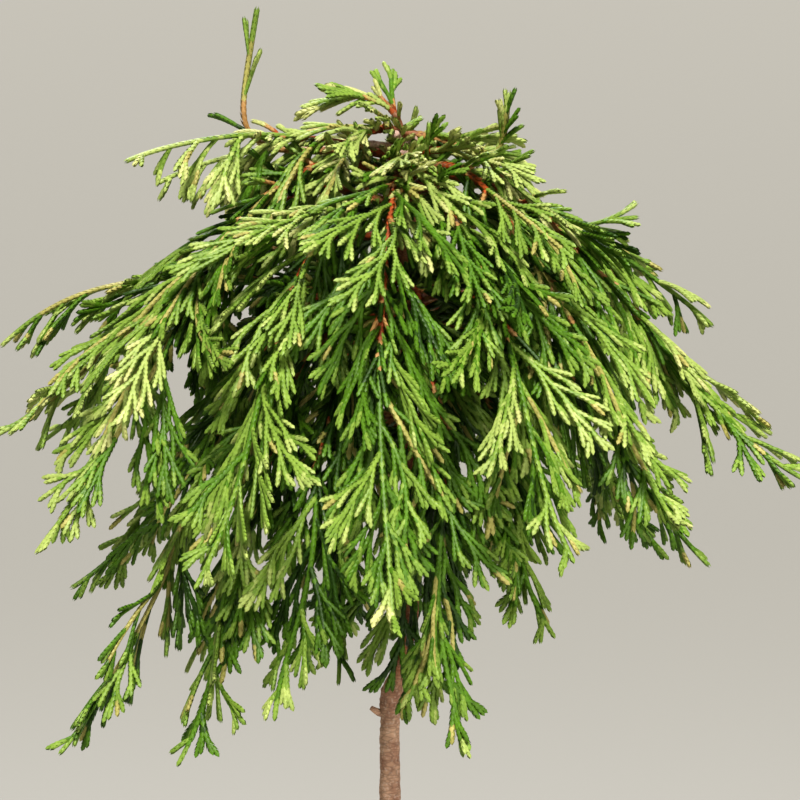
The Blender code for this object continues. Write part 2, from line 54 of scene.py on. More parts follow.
def blendStep(low, high, value):
    share = np.clip((np.asarray(value, float) - low) / (high - low), 0.0, 1.0)
    return share * share * (3.0 - 2.0 * share)


def wrapNoise(around, along, columns, seed):
    # smooth noise from -1 to 1 that closes on itself round a stem; around runs from 0 to 1
    rows = int(np.max(along)) + 3
    lattice = np.random.default_rng(seed).uniform(-1.0, 1.0, (rows, columns))
    column = np.asarray(around, float) * columns
    row = np.asarray(along, float)
    left = np.floor(column).astype(int)
    low = np.floor(row).astype(int)
    across = blendStep(0.0, 1.0, column - left)
    upward = blendStep(0.0, 1.0, row - low)
    right = (left + 1) % columns
    left = left % columns
    bottom = lattice[low, left] * (1.0 - across) + lattice[low, right] * across
    top = lattice[low + 1, left] * (1.0 - across) + lattice[low + 1, right] * across
    return bottom * (1.0 - upward) + top * upward


def wrapRelief(around, along, kind, seed):
    # kind is the depth, the pitch along the axis and how many columns go round it
    depth, pitch, columns = kind
    return depth * wrapNoise(around, along / pitch, columns, seed)


# Meshes from arrays

def newPiece(name, points, faces, material, replaced=()):
    # faces is one array, with the same number of corners in every face
    points = np.asarray(points, np.float32)
    faces = np.asarray(faces, np.int32)
    mesh = bpy.data.meshes.new(name)
    mesh.vertices.add(len(points))
    mesh.vertices.foreach_set("co", points.ravel())
    mesh.loops.add(faces.size)
    mesh.loops.foreach_set("vertex_index", faces.ravel())
    mesh.polygons.add(len(faces))
    mesh.polygons.foreach_set("loop_start", np.arange(0, faces.size, faces.shape[1], dtype=np.int32))
    mesh.materials.append(material)
    mesh.update(calc_edges=True)
    mesh.validate()
    mesh.shade_smooth()
    piece = bpy.data.objects.new(name, mesh)
    bpy.context.scene.collection.objects.link(piece)
    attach(piece, "root")
    if replaced:
        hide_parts(*replaced)
    return piece


def tubeArrays(path, radii):
    # rings of points square to the path; radii has a row for each ring and a column for each side
    path = np.asarray(path, float)
    rings, sides = radii.shape
    ahead = np.gradient(path, axis=0)
    ahead /= np.linalg.norm(ahead, axis=1)[:, None]
    across = np.empty_like(path)
    side = np.cross(ahead[0], (0.0, 1.0, 0.0))
    if np.linalg.norm(side) < 0.1:
        side = np.cross(ahead[0], (1.0, 0.0, 0.0))
    for ring in range(rings):
        side = side - ahead[ring] * side.dot(ahead[ring])
        side /= np.linalg.norm(side)
        across[ring] = side
    up = np.cross(ahead, across)
    circle = circlePoints(sides)
    offset = across[:, None, :] * circle[None, :, :1] + up[:, None, :] * circle[None, :, 1:]
    points = (path[:, None, :] + offset * radii[:, :, None]).reshape(-1, 3)
    return points, ringFaces(rings, sides)


def circlePoints(sides):
    turns = np.arange(sides) * 2.0 * np.pi / sides
    return np.stack([np.cos(turns), np.sin(turns)], axis=-1)


def closeEnd(path, radii, ahead):
    # one more ring, drawn in to almost nothing
    radii = np.concatenate([radii, np.full((1, radii.shape[1]), 0.00002)])
    return np.concatenate([path, path[-1:] + ahead]), radii


def ringFaces(rings, sides):
    low = np.arange((rings - 1) * sides).reshape(-1, sides)
    after = np.roll(low, -1, axis=1)
    return np.stack([low, after, after + sides, low + sides], axis=-1).reshape(-1, 4)


def roundRings(rings, sides):
    # how far round its ring each point is, from 0 to 1
    return np.tile(np.arange(sides) / sides, (rings, 1))


def eachRing(values, sides):
    # one value for each ring, the same all the way round
    return np.tile(np.asarray(values)[:, None], (1, sides))


def joinArrays(parts):
    points, faces, count = [], [], 0
    for partPoints, partFaces in parts:
        points.append(partPoints)
        faces.append(np.asarray(partFaces) + count)
        count += len(partPoints)
    return np.concatenate(points), np.concatenate(faces)


# Shader helpers

def paint(hexCode):
    # a display colour, such as "7ea23c", as the linear colour that the sockets take
    channels = [int(hexCode[place:place + 2], 16) / 255.0 for place in (0, 2, 4)]
    linear = [c / 12.92 if c <= 0.04045 else ((c + 0.055) / 1.055) ** 2.4 for c in channels]
    return (*linear, 1.0)


def feed(tree, value, socket):
    # another node's output is linked, and anything else is the socket's own value
    if isinstance(value, bpy.types.NodeSocket):
        tree.links.new(value, socket)
    else:
        socket.default_value = value


def addNode(tree, kind, settings=None, values=None):
    node = tree.nodes.new(kind)
    for name, value in (settings or {}).items():
        setattr(node, name, value)
    for name, value in (values or {}).items():
        feed(tree, value, node.inputs[name])
    return node


def newGroup(name, inputs, outputs):
    group = bpy.data.node_groups.new(name, "ShaderNodeTree")
    for direction, sockets in (("INPUT", inputs), ("OUTPUT", outputs)):
        for label, kind in sockets.items():
            group.interface.new_socket(name=label, in_out=direction, socket_type="NodeSocket" + kind)
    return group, group.nodes.new("NodeGroupInput"), group.nodes.new("NodeGroupOutput")


def placeGroup(tree, group, values):
    return addNode(tree, "ShaderNodeGroup", {"node_tree": group}, values)


def newMaterial(name, values):
    material = bpy.data.materials.new(name)
    material.use_nodes = True
    tree = material.node_tree
    shader = tree.nodes["Principled BSDF"]
    shader.inputs["Roughness"].default_value = values["roughness"]
    shader.inputs["Specular IOR Level"].default_value = values.get("specular", 0.5)
    return material, tree, shader


def mixColours(tree, first, second, factor):
    # this node's sockets share their names, so they are given by number
    mix = addNode(tree, "ShaderNodeMix", {"data_type": "RGBA"}, {0: factor, 6: first, 7: second})
    return mix.outputs[2]


def objectPoint(tree):
    return addNode(tree, "ShaderNodeTexCoord").outputs["Object"]


def objectHeight(tree):
    return addNode(tree, "ShaderNodeSeparateXYZ", values={"Vector": objectPoint(tree)}).outputs["Z"]


def calculate(tree, operation, *values):
    return addNode(tree, "ShaderNodeMath", {"operation": operation}, dict(enumerate(values))).outputs[0]


def spread(tree, value, limits, results=(0.0, 1.0)):
    # the two limits of value become the two results
    return addNode(tree, "ShaderNodeMapRange", values={
        "Value": value, "From Min": limits[0], "From Max": limits[1],
        "To Min": results[0], "To Max": results[1]}).outputs["Result"]


def finishMaterial(tree, shader, colour, height, values):
    bump = addNode(tree, "ShaderNodeBump", values={
        "Strength": values["bump"], "Distance": values["bumpDepth"], "Height": height})
    tree.links.new(colour, shader.inputs["Base Color"])
    tree.links.new(bump.outputs["Normal"], shader.inputs["Normal"])


# Effects that several materials share

groupValues = {
    "patchLimits": (0.36, 0.64), "fleckLimits": (0.54, 0.66),  # closer limits give harder edges
    "crackWidth": 0.14, "crackDepth": 0.35,
}


def buildMottleGroup():
    # two colours in soft patches, with a third in small flecks
    group, entry, leave = newGroup(
        "mottle",
        {"First Colour": "Color", "Second Colour": "Color", "Fleck Colour": "Color",
         "Patch Scale": "Float", "Fleck Scale": "Float", "Fleck Amount": "Float"},
        {"Colour": "Color", "Flecks": "Float"})
    put, point = entry.outputs, objectPoint(group)
    patches = addNode(group, "ShaderNodeTexNoise", values={
        "Vector": point, "Scale": put["Patch Scale"], "Detail": 3.0, "Roughness": 0.6})
    flecks = addNode(group, "ShaderNodeTexNoise", values={
        "Vector": point, "Scale": put["Fleck Scale"], "Detail": 2.0, "Roughness": 0.5})
    soft = spread(group, patches.outputs["Fac"], groupValues["patchLimits"])
    sharp = spread(group, flecks.outputs["Fac"], groupValues["fleckLimits"])
    base = mixColours(group, put["First Colour"], put["Second Colour"], soft)
    amount = calculate(group, "MULTIPLY", sharp, put["Fleck Amount"])
    colour = mixColours(group, base, put["Fleck Colour"], amount)
    group.links.new(colour, leave.inputs["Colour"])
    group.links.new(sharp, leave.inputs["Flecks"])
    return group


def buildRidgeGroup():
    # fine ridges round a stem, broken into short lengths, with darker cracks between
    group, entry, leave = newGroup("bark_ridges", {"Ridge Scale": "Float", "Squash": "Float"},
                                   {"Height": "Float", "Cracks": "Float"})
    squash, scale = entry.outputs["Squash"], entry.outputs["Ridge Scale"]
    stretch = addNode(group, "ShaderNodeCombineXYZ", values={"X": squash, "Y": squash, "Z": 1.0})
    scaled = addNode(group, "ShaderNodeVectorMath", {"operation": "MULTIPLY"},
                     {0: objectPoint(group), 1: stretch.outputs["Vector"]}).outputs["Vector"]
    ridges = addNode(group, "ShaderNodeTexNoise",
                     values={"Vector": scaled, "Scale": scale, "Detail": 4.0, "Roughness": 0.62})
    cells = addNode(group, "ShaderNodeTexVoronoi", {"feature": "DISTANCE_TO_EDGE"},
                    {"Vector": scaled, "Scale": scale})
    cracks = spread(group, cells.outputs["Distance"], (0.0, groupValues["crackWidth"]), (1.0, 0.0))
    height = calculate(group, "MULTIPLY_ADD", cracks, -groupValues["crackDepth"], ridges.outputs["Fac"])
    group.links.new(height, leave.inputs["Height"])
    group.links.new(cracks, leave.inputs["Cracks"])
    return group


mottleGroup = buildMottleGroup()
ridgeGroup = buildRidgeGroup()


def placeMottle(tree, values, shades):
    # shades are the patches' two colours and the flecks'
    first, second, fleck = (paint(shade) for shade in shades)
    return placeGroup(tree, mottleGroup, {
        "First Colour": first, "Second Colour": second, "Fleck Colour": fleck,
        "Patch Scale": values["patchScale"], "Fleck Scale": values["fleckScale"],
        "Fleck Amount": values["fleckAmount"]}).outputs


def mottledMaterial(name, values):
    material, tree, shader = newMaterial(name, values)
    mottle = placeMottle(tree, values, values["shades"])
    finishMaterial(tree, shader, mottle["Colour"], mottle["Flecks"], values)
    return material


# Pot

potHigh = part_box("pot")[1]
potValues = {
    "sides": 144,
    "baseRadius": 0.0775,
    "topRadius": 0.104,
    "wall": 0.0065,
    "floor": 0.010,
    "rimDepth": 0.034,
    "rimProud": 0.0055,
    "edge": 0.0024,  # how far edges are rounded
    "arcSteps": 6,
    "wallRings": 34,
    "rimRings": 9,
    "innerRings": 24,
    "drainHoles": 3,
    "drainSides": 40,
    "drainRadius": 0.007,
    "drainCircle": 0.036,
    "drainFirstTurn": 30.0,  # degrees
    "throwing": (0.00016, 0.0035, 5),  # relief of the faint rings left by the mould
    "wobble": (0.00035, 0.05, 4),
    "reliefFrom": (0.02, 0.05),  # within this radius the floor's middle stays flat
    "nicks": (1.0, 0.003, 46),
    "nickDepth": 0.0014,  # how deep the rim is chipped
    "nickFrom": 0.62,  # a higher share leaves fewer chips
    "nickBand": 0.004,
    "seed": 11,
}


def potProfile():
    v = potValues
    height = potHigh.z
    edge = v["edge"]
    rimLow = height - v["rimDepth"]
    rimRadius = v["topRadius"] + v["rimProud"]
    slope = (v["topRadius"] - v["baseRadius"]) / height

    def wall(z):
        return v["baseRadius"] + slope * z

    def rounded(x, z, first, last):
        turns = np.radians(np.linspace(first, last, v["arcSteps"]))
        return [(x + edge * math.cos(turn), z + edge * math.sin(turn)) for turn in turns]

    inner = v["topRadius"] - v["wall"]
    corners = [(0.0, 0.0), (v["baseRadius"] - edge, 0.0)]
    corners += rounded(v["baseRadius"] - edge, edge, -90.0, 0.0)[1:]
    corners += [(wall(z), z) for z in np.linspace(edge * 1.6, rimLow - edge, v["wallRings"])]
    corners += rounded(wall(rimLow) + edge, rimLow - edge, 180.0, 90.0)
    corners += rounded(rimRadius - edge, rimLow + edge, -90.0, 0.0)
    corners += [(rimRadius, z)
                for z in np.linspace(rimLow + edge * 1.5, height - edge * 1.5, v["rimRings"])]
    corners += rounded(rimRadius - edge, height - edge, 0.0, 90.0)
    corners += rounded(inner + edge, height - edge, 90.0, 180.0)
    innerLow = wall(v["floor"]) - v["wall"]
    corners += [(inner + (innerLow - inner) * s, height - edge + (v["floor"] - height + edge) * s)
                for s in np.linspace(0.04, 1.0, v["innerRings"])]
    corners += [(innerLow * 0.5, v["floor"]), (0.0, v["floor"])]
    return np.array(corners)


def buildPot(material):
    v = potValues
    profile = potProfile()
    rings, sides = len(profile), v["sides"]
    around = roundRings(rings, sides)
    radius, height = eachRing(profile[:, 0], sides), eachRing(profile[:, 1], sides)
    outer = blendStep(*v["reliefFrom"], radius)
    relief = wrapRelief(around, height, v["throwing"], v["seed"])
    relief += wrapRelief(around, height, v["wobble"], v["seed"] + 1)
    nearRim = blendStep(potHigh.z - v["nickBand"], potHigh.z, height)
    nick = wrapRelief(around, height, v["nicks"], v["seed"] + 2) - v["nickFrom"]
    radius = radius + outer * relief
    height = height - nearRim * np.clip(nick, 0.0, 1.0) * v["nickDepth"]
    turns = around * 2.0 * np.pi
    points = np.stack([radius * np.cos(turns), radius * np.sin(turns), height], axis=-1)
    pot = newPiece("clay_pot", points.reshape(-1, 3), ringFaces(rings, sides), material,
                   ["pot"])
    closePoles(pot.data)
    cutDrains(pot)


def closePoles(mesh):
    # the rings at the axis have no radius, so their points are merged
    work = bmesh.new()
    work.from_mesh(mesh)
    bmesh.ops.remove_doubles(work, verts=work.verts, dist=1e-6)
    bmesh.ops.recalc_face_normals(work, faces=work.faces)
    work.to_mesh(mesh)
    work.free()


def cutDrains(pot):
    v = potValues
    cutters = []
    for index in range(v["drainHoles"]):
        turn = math.radians(v["drainFirstTurn"]) + 2.0 * math.pi * index / v["drainHoles"]
        centre = (v["drainCircle"] * math.cos(turn), v["drainCircle"] * math.sin(turn), v["floor"] / 2)
        bpy.ops.mesh.primitive_cylinder_add(vertices=v["drainSides"], radius=v["drainRadius"],
                                            depth=v["floor"] * 3.0, location=centre)
        cutter = bpy.context.object
        cut = pot.modifiers.new("drain", "BOOLEAN")
        cut.operation = "DIFFERENCE"
        cut.object = cutter
        cutters.append(cutter)
    depsgraph = bpy.context.evaluated_depsgraph_get()
    cutMesh = bpy.data.meshes.new_from_object(pot.evaluated_get(depsgraph))
    pot.modifiers.clear()
    pot.data = cutMesh
    pot.data.shade_smooth()
    for cutter in cutters:
        bpy.data.objects.remove(cutter, do_unlink=True)


clayValues = {
    "shades": ("ad6a47", "97573b", "d0a487"),
    "bloom": "cbb5a0", "roughness": 0.88, "specular": 0.3,
    "patchScale": 28.0, "fleckScale": 1100.0, "fleckAmount": 0.28,
    "bloomFoot": 0.055,  # the pale salt bloom fades out above this height
    "bloomByHeight": (0.20, -0.06), "bloomLimits": (0.50, 0.72), "bloomMost": 0.62,
    "bloomScale": 22.0,
    "bump": 0.35, "bumpDepth": 0.0004,
}


def buildClay():
    v = clayValues
    material, tree, shader = newMaterial("terracotta_clay", v)
    mottle = placeMottle(tree, v, v["shades"])
    salt = addNode(tree, "ShaderNodeTexNoise", values={
        "Vector": objectPoint(tree), "Scale": v["bloomScale"], "Detail": 6.0, "Roughness": 0.68})
    foot = spread(tree, objectHeight(tree), (0.0, v["bloomFoot"]), v["bloomByHeight"])
    raised = calculate(tree, "ADD", salt.outputs["Fac"], foot)
    bloom = spread(tree, raised, v["bloomLimits"], (0.0, v["bloomMost"]))
    colour = mixColours(tree, mottle["Colour"], paint(v["bloom"]), bloom)
    finishMaterial(tree, shader, colour, mottle["Flecks"], v)
    return material


buildPot(buildClay())
print("pot made")


# Compost

compostLow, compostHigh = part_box("compost")
compostValues = {
    "radius": 0.0955,
    "dip": 0.004,  # how much lower the compost lies at the wall
    "dipPower": 1.7,
    "rings": 64,
    "ringPower": 0.8,  # a lower power crowds the rings towards the wall
    "sides": 180,
    "lumps": 0.0016,
    "lumpSizes": ((0.011, 1.0), (0.0042, 0.7), (0.0019, 0.45)),  # width, and share of the depth
    "skirt": 0.80,  # its foot's radius as a share of the compost's
    "crumbSizes": (0.0009, 0.0034),
    "crumbKinds": (("compost_crumbs", 1341, 1.0), ("compost_bark_chips", 748, 1.35),
                   ("compost_grit", 110, 0.42)),  # how many, and scale of the largest
    "clearOfStem": 0.0105,
    "clearOfWall": 0.0025,
    "sunk": 0.0004,
    "raised": 0.2,  # of a crumb's size
    "smallness": 2.2,  # a higher power leaves more small crumbs
    "tilt": 0.35,
    "flat": 0.46,  # a crumb's height as a share of its width
    "corners": (0.62, 1.2),  # how far its corners are pulled about
    "widths": (0.45, 0.9),
    "heights": (0.6, 1.3),
    "seed": 23,
}


def compostLevel(radius):
    v = compostValues
    return compostHigh.z - v["dip"] * (np.asarray(radius) / v["radius"]) ** v["dipPower"]


def buildCompost(material):
    v = compostValues
    share = np.linspace(0.0, 1.0, v["rings"]) ** v["ringPower"]
    radius = eachRing(share * v["radius"], v["sides"])
    turns = roundRings(v["rings"], v["sides"]) * 2.0 * np.pi
    x, y = radius * np.cos(turns), radius * np.sin(turns)
    height = compostLevel(radius)
    reach = v["radius"] * 1.1
    for size, depth in v["lumpSizes"]:
        grid = wrapNoise((x + reach) / (2.2 * reach), (y + reach) / size,
                         int(2.2 * reach / size), v["seed"] + int(size * 10000))
        height = height + v["lumps"] * depth * (grid - 0.5)
    # a skirt that goes down inside the pot
    skirt = np.stack([x[-1], y[-1], np.full(v["sides"], compostLow.z)], axis=-1)
    skirt[:, :2] *= v["skirt"]
    points = np.concatenate([np.stack([x, y, height], axis=-1).reshape(-1, 3), skirt])
    soil = newPiece("compost_surface", points, ringFaces(v["rings"] + 1, v["sides"]), material,
                    ["compost"])
    closePoles(soil.data)


def crumbArrays(count, sizes, rng):
    # irregular lumps: squashed boxes with their corners pulled about
    v = compostValues
    corner = np.array([(x, y, z) for z in (-1, 1) for y in (-1, 1) for x in (-1, 1)], float)
    sides = np.array([(0, 2, 3, 1), (4, 5, 7, 6), (0, 1, 5, 4),
                      (2, 6, 7, 3), (0, 4, 6, 2), (1, 3, 7, 5)])
    size = sizes[0] + (sizes[1] - sizes[0]) * rng.random(count) ** v["smallness"]
    turns = rng.uniform(0.0, 2.0 * np.pi, count)
    tilt = rng.normal(0.0, v["tilt"], (count, 2))
    shape = corner[None] * rng.uniform(*v["corners"], (count, 8, 3))
    width = size * rng.uniform(*v["widths"], count)
    height = size * v["flat"] * rng.uniform(*v["heights"], count)
    shape = shape * np.stack([size, width, height], axis=-1)[:, None, :]
    shape[:, :, 2] += shape[:, :, 0] * tilt[:, :1] + shape[:, :, 1] * tilt[:, 1:]
    cos, sin = np.cos(turns)[:, None], np.sin(turns)[:, None]
    x = shape[:, :, 0] * cos - shape[:, :, 1] * sin
    y = shape[:, :, 0] * sin + shape[:, :, 1] * cos
    points = np.stack([x, y, shape[:, :, 2]], axis=-1)
    distance = (v["radius"] - v["clearOfWall"]) * np.sqrt(rng.random(count))
    angle = rng.uniform(0.0, 2.0 * np.pi, count)
    distance = np.maximum(distance, v["clearOfStem"])
    centre = np.stack([distance * np.cos(angle), distance * np.sin(angle),
                       compostLevel(distance) - v["sunk"] + v["raised"] * size], axis=-1)
    points = (points + centre[:, None, :]).reshape(-1, 3)
    faces = (sides[None] + (np.arange(count) * 8)[:, None, None]).reshape(-1, 4)
    return points, faces


def buildCrumbs(materials):
    v = compostValues
    for index, (name, count, scale) in enumerate(v["crumbKinds"]):
        rng = np.random.default_rng(v["seed"] + index)
        sizes = (v["crumbSizes"][0], v["crumbSizes"][1] * scale)
        points, faces = crumbArrays(count, sizes, rng)
        newPiece(name, points, faces, materials[index]).data.shade_flat()


compostShades = {
    "soil": {"shades": ("3a2a1e", "22180f", "5c4631"), "roughness": 0.95,
             "patchScale": 160.0, "fleckScale": 1500.0, "fleckAmount": 0.5,
             "bump": 0.8, "bumpDepth": 0.0008},
    "barkChips": {"shades": ("5e4430", "3d2a1c", "8a6a4c"), "roughness": 0.9,
                  "patchScale": 220.0, "fleckScale": 1300.0, "fleckAmount": 0.4,
                  "bump": 0.6, "bumpDepth": 0.0004},
    "grit": {"shades": ("b7ab98", "958977", "ddd5c6"), "roughness": 0.8,
             "patchScale": 300.0, "fleckScale": 1800.0, "fleckAmount": 0.4,
             "bump": 0.4, "bumpDepth": 0.0003},
}
soilMaterial = mottledMaterial("compost_soil", compostShades["soil"])
buildCompost(soilMaterial)
buildCrumbs([soilMaterial,
             mottledMaterial("compost_bark_chip", compostShades["barkChips"]),
             mottledMaterial("compost_grit_grain", compostShades["grit"])])
print("compost made")


# Trunk

trunkLow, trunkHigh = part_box("trunk")
trunkValues = {
    "sides": 36,
    "ringStep": 0.0013,
    "rootstockRadius": 0.0052,
    "flareRadius": 0.0088,
    "flareHeight": 0.035,
    "flareRoots": 5,
    "flareRipple": 0.14,
    "graftHeight": 0.562,
    "graftSwell": 0.0012,
    "graftLength": 0.012,
    "leaderRadius": 0.0038,
    "leaderTopRadius": 0.0026,
    "graftStep": 0.0115,
    "stepFrom": -0.009,  # from the graft
    "stepTo": 0.043,
    "leaderLean": 0.006,
    "leanFrom": 0.058,
    "flutes": (0.00040, 0.05, 5),
    "plates": (0.00030, 0.008, 8),
    "ridges": 0.00042,
    "ridgePitch": 0.0024,
    "ridgeWaver": (0.8, 0.012, 6),
    "ridgePatches": (0.4, 0.02, 7),
    "ridgeMean": 0.6,
    "leaderSmooth": 0.55,  # how much of the relief the younger leader loses
    "smoothWithin": 0.01,  # above the graft
    "tipRadius": 0.72,  # the last ring's, as a share
    "tipHeight": 0.0012,
    "tipCap": 0.0010,
    "seed": 31,
}
stubValues = {
    "height": 0.551,
    "proud": 0.0048,
    "climb": 0.0033,
    "forward": 0.001,
    "radii": (0.0027, 0.0024, 0.0021, 0.0019, 0.0017, 0.0013),
    "sides": 18,
    "sag": 0.0012,
    "cap": 0.00005,
    "bumps": (0.00022, 1.0, 5),
    "bumpRows": 9.0,
    "seed": 5,
}


def trunkX(height):
    v = trunkValues
    graft = v["graftHeight"]
    right = v["graftStep"] * blendStep(graft + v["stepFrom"], graft + v["stepTo"], height)
    back = v["leaderLean"] * blendStep(graft + v["leanFrom"], trunkHigh.z, height)
    return right - back


def trunkRadius(height):
    v = trunkValues
    graft = v["graftHeight"]
    flare = 1.0 - blendStep(trunkLow.z, trunkLow.z + v["flareHeight"], height)
    below = v["rootstockRadius"] + (v["flareRadius"] - v["rootstockRadius"]) * flare
    share = (height - graft) / (trunkHigh.z - graft)
    leader = v["leaderRadius"] + (v["leaderTopRadius"] - v["leaderRadius"]) * share
    above = blendStep(graft, graft + v["graftLength"], height)
    radius = below * (1.0 - above) + leader * above
    swell = np.clip(1.0 - np.abs(height - graft) / v["graftLength"], 0.0, None)
    return radius + v["graftSwell"] * swell


def buildTrunk(material):
    v = trunkValues
    rings = int((trunkHigh.z - trunkLow.z) / v["ringStep"])
    heights = np.linspace(trunkLow.z, trunkHigh.z - v["tipHeight"], rings)
    height = eachRing(heights, v["sides"])
    around = roundRings(rings, v["sides"])
    above = height - trunkLow.z
    ripple = v["flareRipple"] * (1.0 - blendStep(0.0, v["flareHeight"], above))
    radius = trunkRadius(height) * (1.0 + ripple * np.cos(v["flareRoots"] * around * 2.0 * np.pi))
    young = blendStep(v["graftHeight"], v["graftHeight"] + v["smoothWithin"], height)
    relief = wrapRelief(around, above, v["flutes"], v["seed"])
    relief += wrapRelief(around, above, v["plates"], v["seed"] + 1)
    # ridges run round the stem, waver up and down, and stop short
    waver = wrapRelief(around, above, v["ridgeWaver"], v["seed"] + 2)
    ridge = wrapNoise(around, above / v["ridgePitch"] + 1.0 + waver, 4, v["seed"] + 3)
    patches = v["ridgeMean"] + wrapRelief(around, above, v["ridgePatches"], v["seed"] + 4)
    relief += v["ridges"] * (1.0 - 2.0 * np.abs(ridge)) * patches
    radius = radius + relief * (1.0 - v["leaderSmooth"] * young)
    # the trunk's top end is drawn in and closed
    radius[-1] *= v["tipRadius"]
    path = np.stack([trunkX(heights), np.zeros(rings), heights], axis=-1)
    path, radius = closeEnd(path, radius, (0.0, 0.0, v["tipCap"]))
    circle = np.pad(circlePoints(v["sides"]), ((0, 0), (0, 1)))
    points = (path[:, None, :] + circle[None] * radius[:, :, None]).reshape(-1, 3)
    newPiece("trunk_bark", points, ringFaces(rings + 1, v["sides"]), material, ["trunk"])


def buildStub(material):
    s = stubValues
    start = np.array([float(trunkX(s["height"])), 0.0, s["height"]])
    length = trunkValues["rootstockRadius"] + s["proud"]
    end = start + (-length, -s["forward"], s["climb"])
    shares = np.linspace(0.0, 1.0, len(s["radii"]) * 3)
    path = start + (end - start) * shares[:, None]
    path[:, 2] -= s["sag"] * np.sin(np.pi * shares)
    radii = eachRing(np.interp(shares, np.linspace(0.0, 1.0, len(s["radii"])), s["radii"]), s["sides"])
    around = roundRings(len(shares), s["sides"])
    radii += wrapRelief(around, eachRing(shares * s["bumpRows"], s["sides"]), s["bumps"], s["seed"])
    points, faces = tubeArrays(*closeEnd(path, radii, (-s["cap"], 0.0, 0.0)))
    newPiece("dead_stub_bark", points, faces, material)


# Cut twigs with pale healed bark, just under the trunk's tip. Each row is the height on the
# trunk, the turn, the climb in degrees, the length and the radius in mm.

prunedValues = {
    "rows": ((846, 222, 12, 36, 1.8), (843, 287, 5, 19, 2.4), (839, 251, 0, 18, 2.3),
             (851, 250, 28, 9, 1.7), (848, 338, 30, 10, 1.8), (833, 232, 6, 11, 1.8),
             (852, 95, 25, 10, 1.8), (844, 140, 12, 13, 2.0), (840, 35, 8, 12, 2.0)),
    "sides": 16,
    "rings": 14,
    "bumps": (0.00045, 2.2, 5),  # the pitch is mm
    "sag": 0.12,
    "endSwell": 0.28,
    "swellPlace": (0.9, 0.16),  # where along the twig, and how wide
    "dome": ((0.00025, 0.78), (0.00045, 0.42), (0.0005, 0.01)),
    "seed": 70,
    "shades": ("cdb0a3", "a98677", "e8d8cf"), "roughness": 0.78,
    "patchScale": 210.0, "fleckScale": 1000.0, "fleckAmount": 0.45, "bump": 0.6, "bumpDepth": 0.0004,
}


def buildPruned(material):
    v = prunedValues
    parts = []
    for index, (height, turn, climb, length, radius) in enumerate(v["rows"]):
        start = np.array([float(trunkX(height * mm)), 0.0, height * mm])
        turn, climb = math.radians(turn), math.radians(climb)
        ahead = np.array([math.cos(climb) * math.cos(turn), math.cos(climb) * math.sin(turn),
                          math.sin(climb)])
        shares = np.linspace(0.0, 1.0, v["rings"])
        path = start + ahead * shares[:, None] * length * mm
        path[:, 2] -= v["sag"] * length * mm * shares ** 2
        middle, width = v["swellPlace"]
        swell = 1.0 + v["endSwell"] * np.exp(-((shares - middle) / width) ** 2)
        radii = eachRing(radius * mm * swell, v["sides"])
        around = roundRings(v["rings"], v["sides"])
        along = eachRing(shares * length, v["sides"])
        radii += wrapRelief(around, along, v["bumps"], v["seed"] + index)
        # the cut end is slightly domed
        for grow, shrink in v["dome"]:
            path = np.concatenate([path, path[v["rings"] - 1:v["rings"]] + ahead * grow])
            radii = np.concatenate([radii, radii[v["rings"] - 1:v["rings"]] * shrink])
        parts.append(tubeArrays(path, radii))
    points, faces = joinArrays(parts)
    newPiece("pruned_twig_bark", points, faces, material)


barkValues = {
    "old": ("dab498", "a9806a", "ecd8c8"),
    "young": ("aa7452", "865036", "cfac94"),
    "youngFrom": -0.004, "youngTo": 0.014,  # from the graft
    "crack": "3c281d",
    "roughness": 0.82, "specular": 0.3,
    "patchScale": 90.0, "fleckScale": 700.0, "fleckAmount": 0.35,
    "ridgeScale": 520.0, "squash": 0.34, "crackShare": 0.34,
    "bump": 0.55, "bumpDepth": 0.0005,
}


def buildBark():
    # grey-brown below the graft, warmer and redder on the leader above it
    v = barkValues
    material, tree, shader = newMaterial("stem_bark", v)
    graft = trunkValues["graftHeight"]
    above = spread(tree, objectHeight(tree), (graft + v["youngFrom"], graft + v["youngTo"]))
    old, young = (placeMottle(tree, v, v[age])["Colour"] for age in ("old", "young"))
    colour = mixColours(tree, old, young, above)
    ridges = placeGroup(tree, ridgeGroup, {"Ridge Scale": v["ridgeScale"], "Squash": v["squash"]})
    share = calculate(tree, "MULTIPLY", ridges.outputs["Cracks"], v["crackShare"])
    colour = mixColours(tree, colour, paint(v["crack"]), share)
    finishMaterial(tree, shader, colour, ridges.outputs["Height"], v)
    return material


barkMaterial = buildBark()
buildTrunk(barkMaterial)
buildStub(barkMaterial)
buildPruned(mottledMaterial("healed_bark", prunedValues))
print("trunk made")


# Limbs: each path leaves the trunk at root, climbing at rise, and reaches tip, falling at fall,
# reach away from the trunk, while its azimuth turns by sweep. bough is the bare share of the
# path, spray is a side shoot's length and lay is how far the side shoots turn to the limb's
# lower side. Lengths are mm and angles degrees.

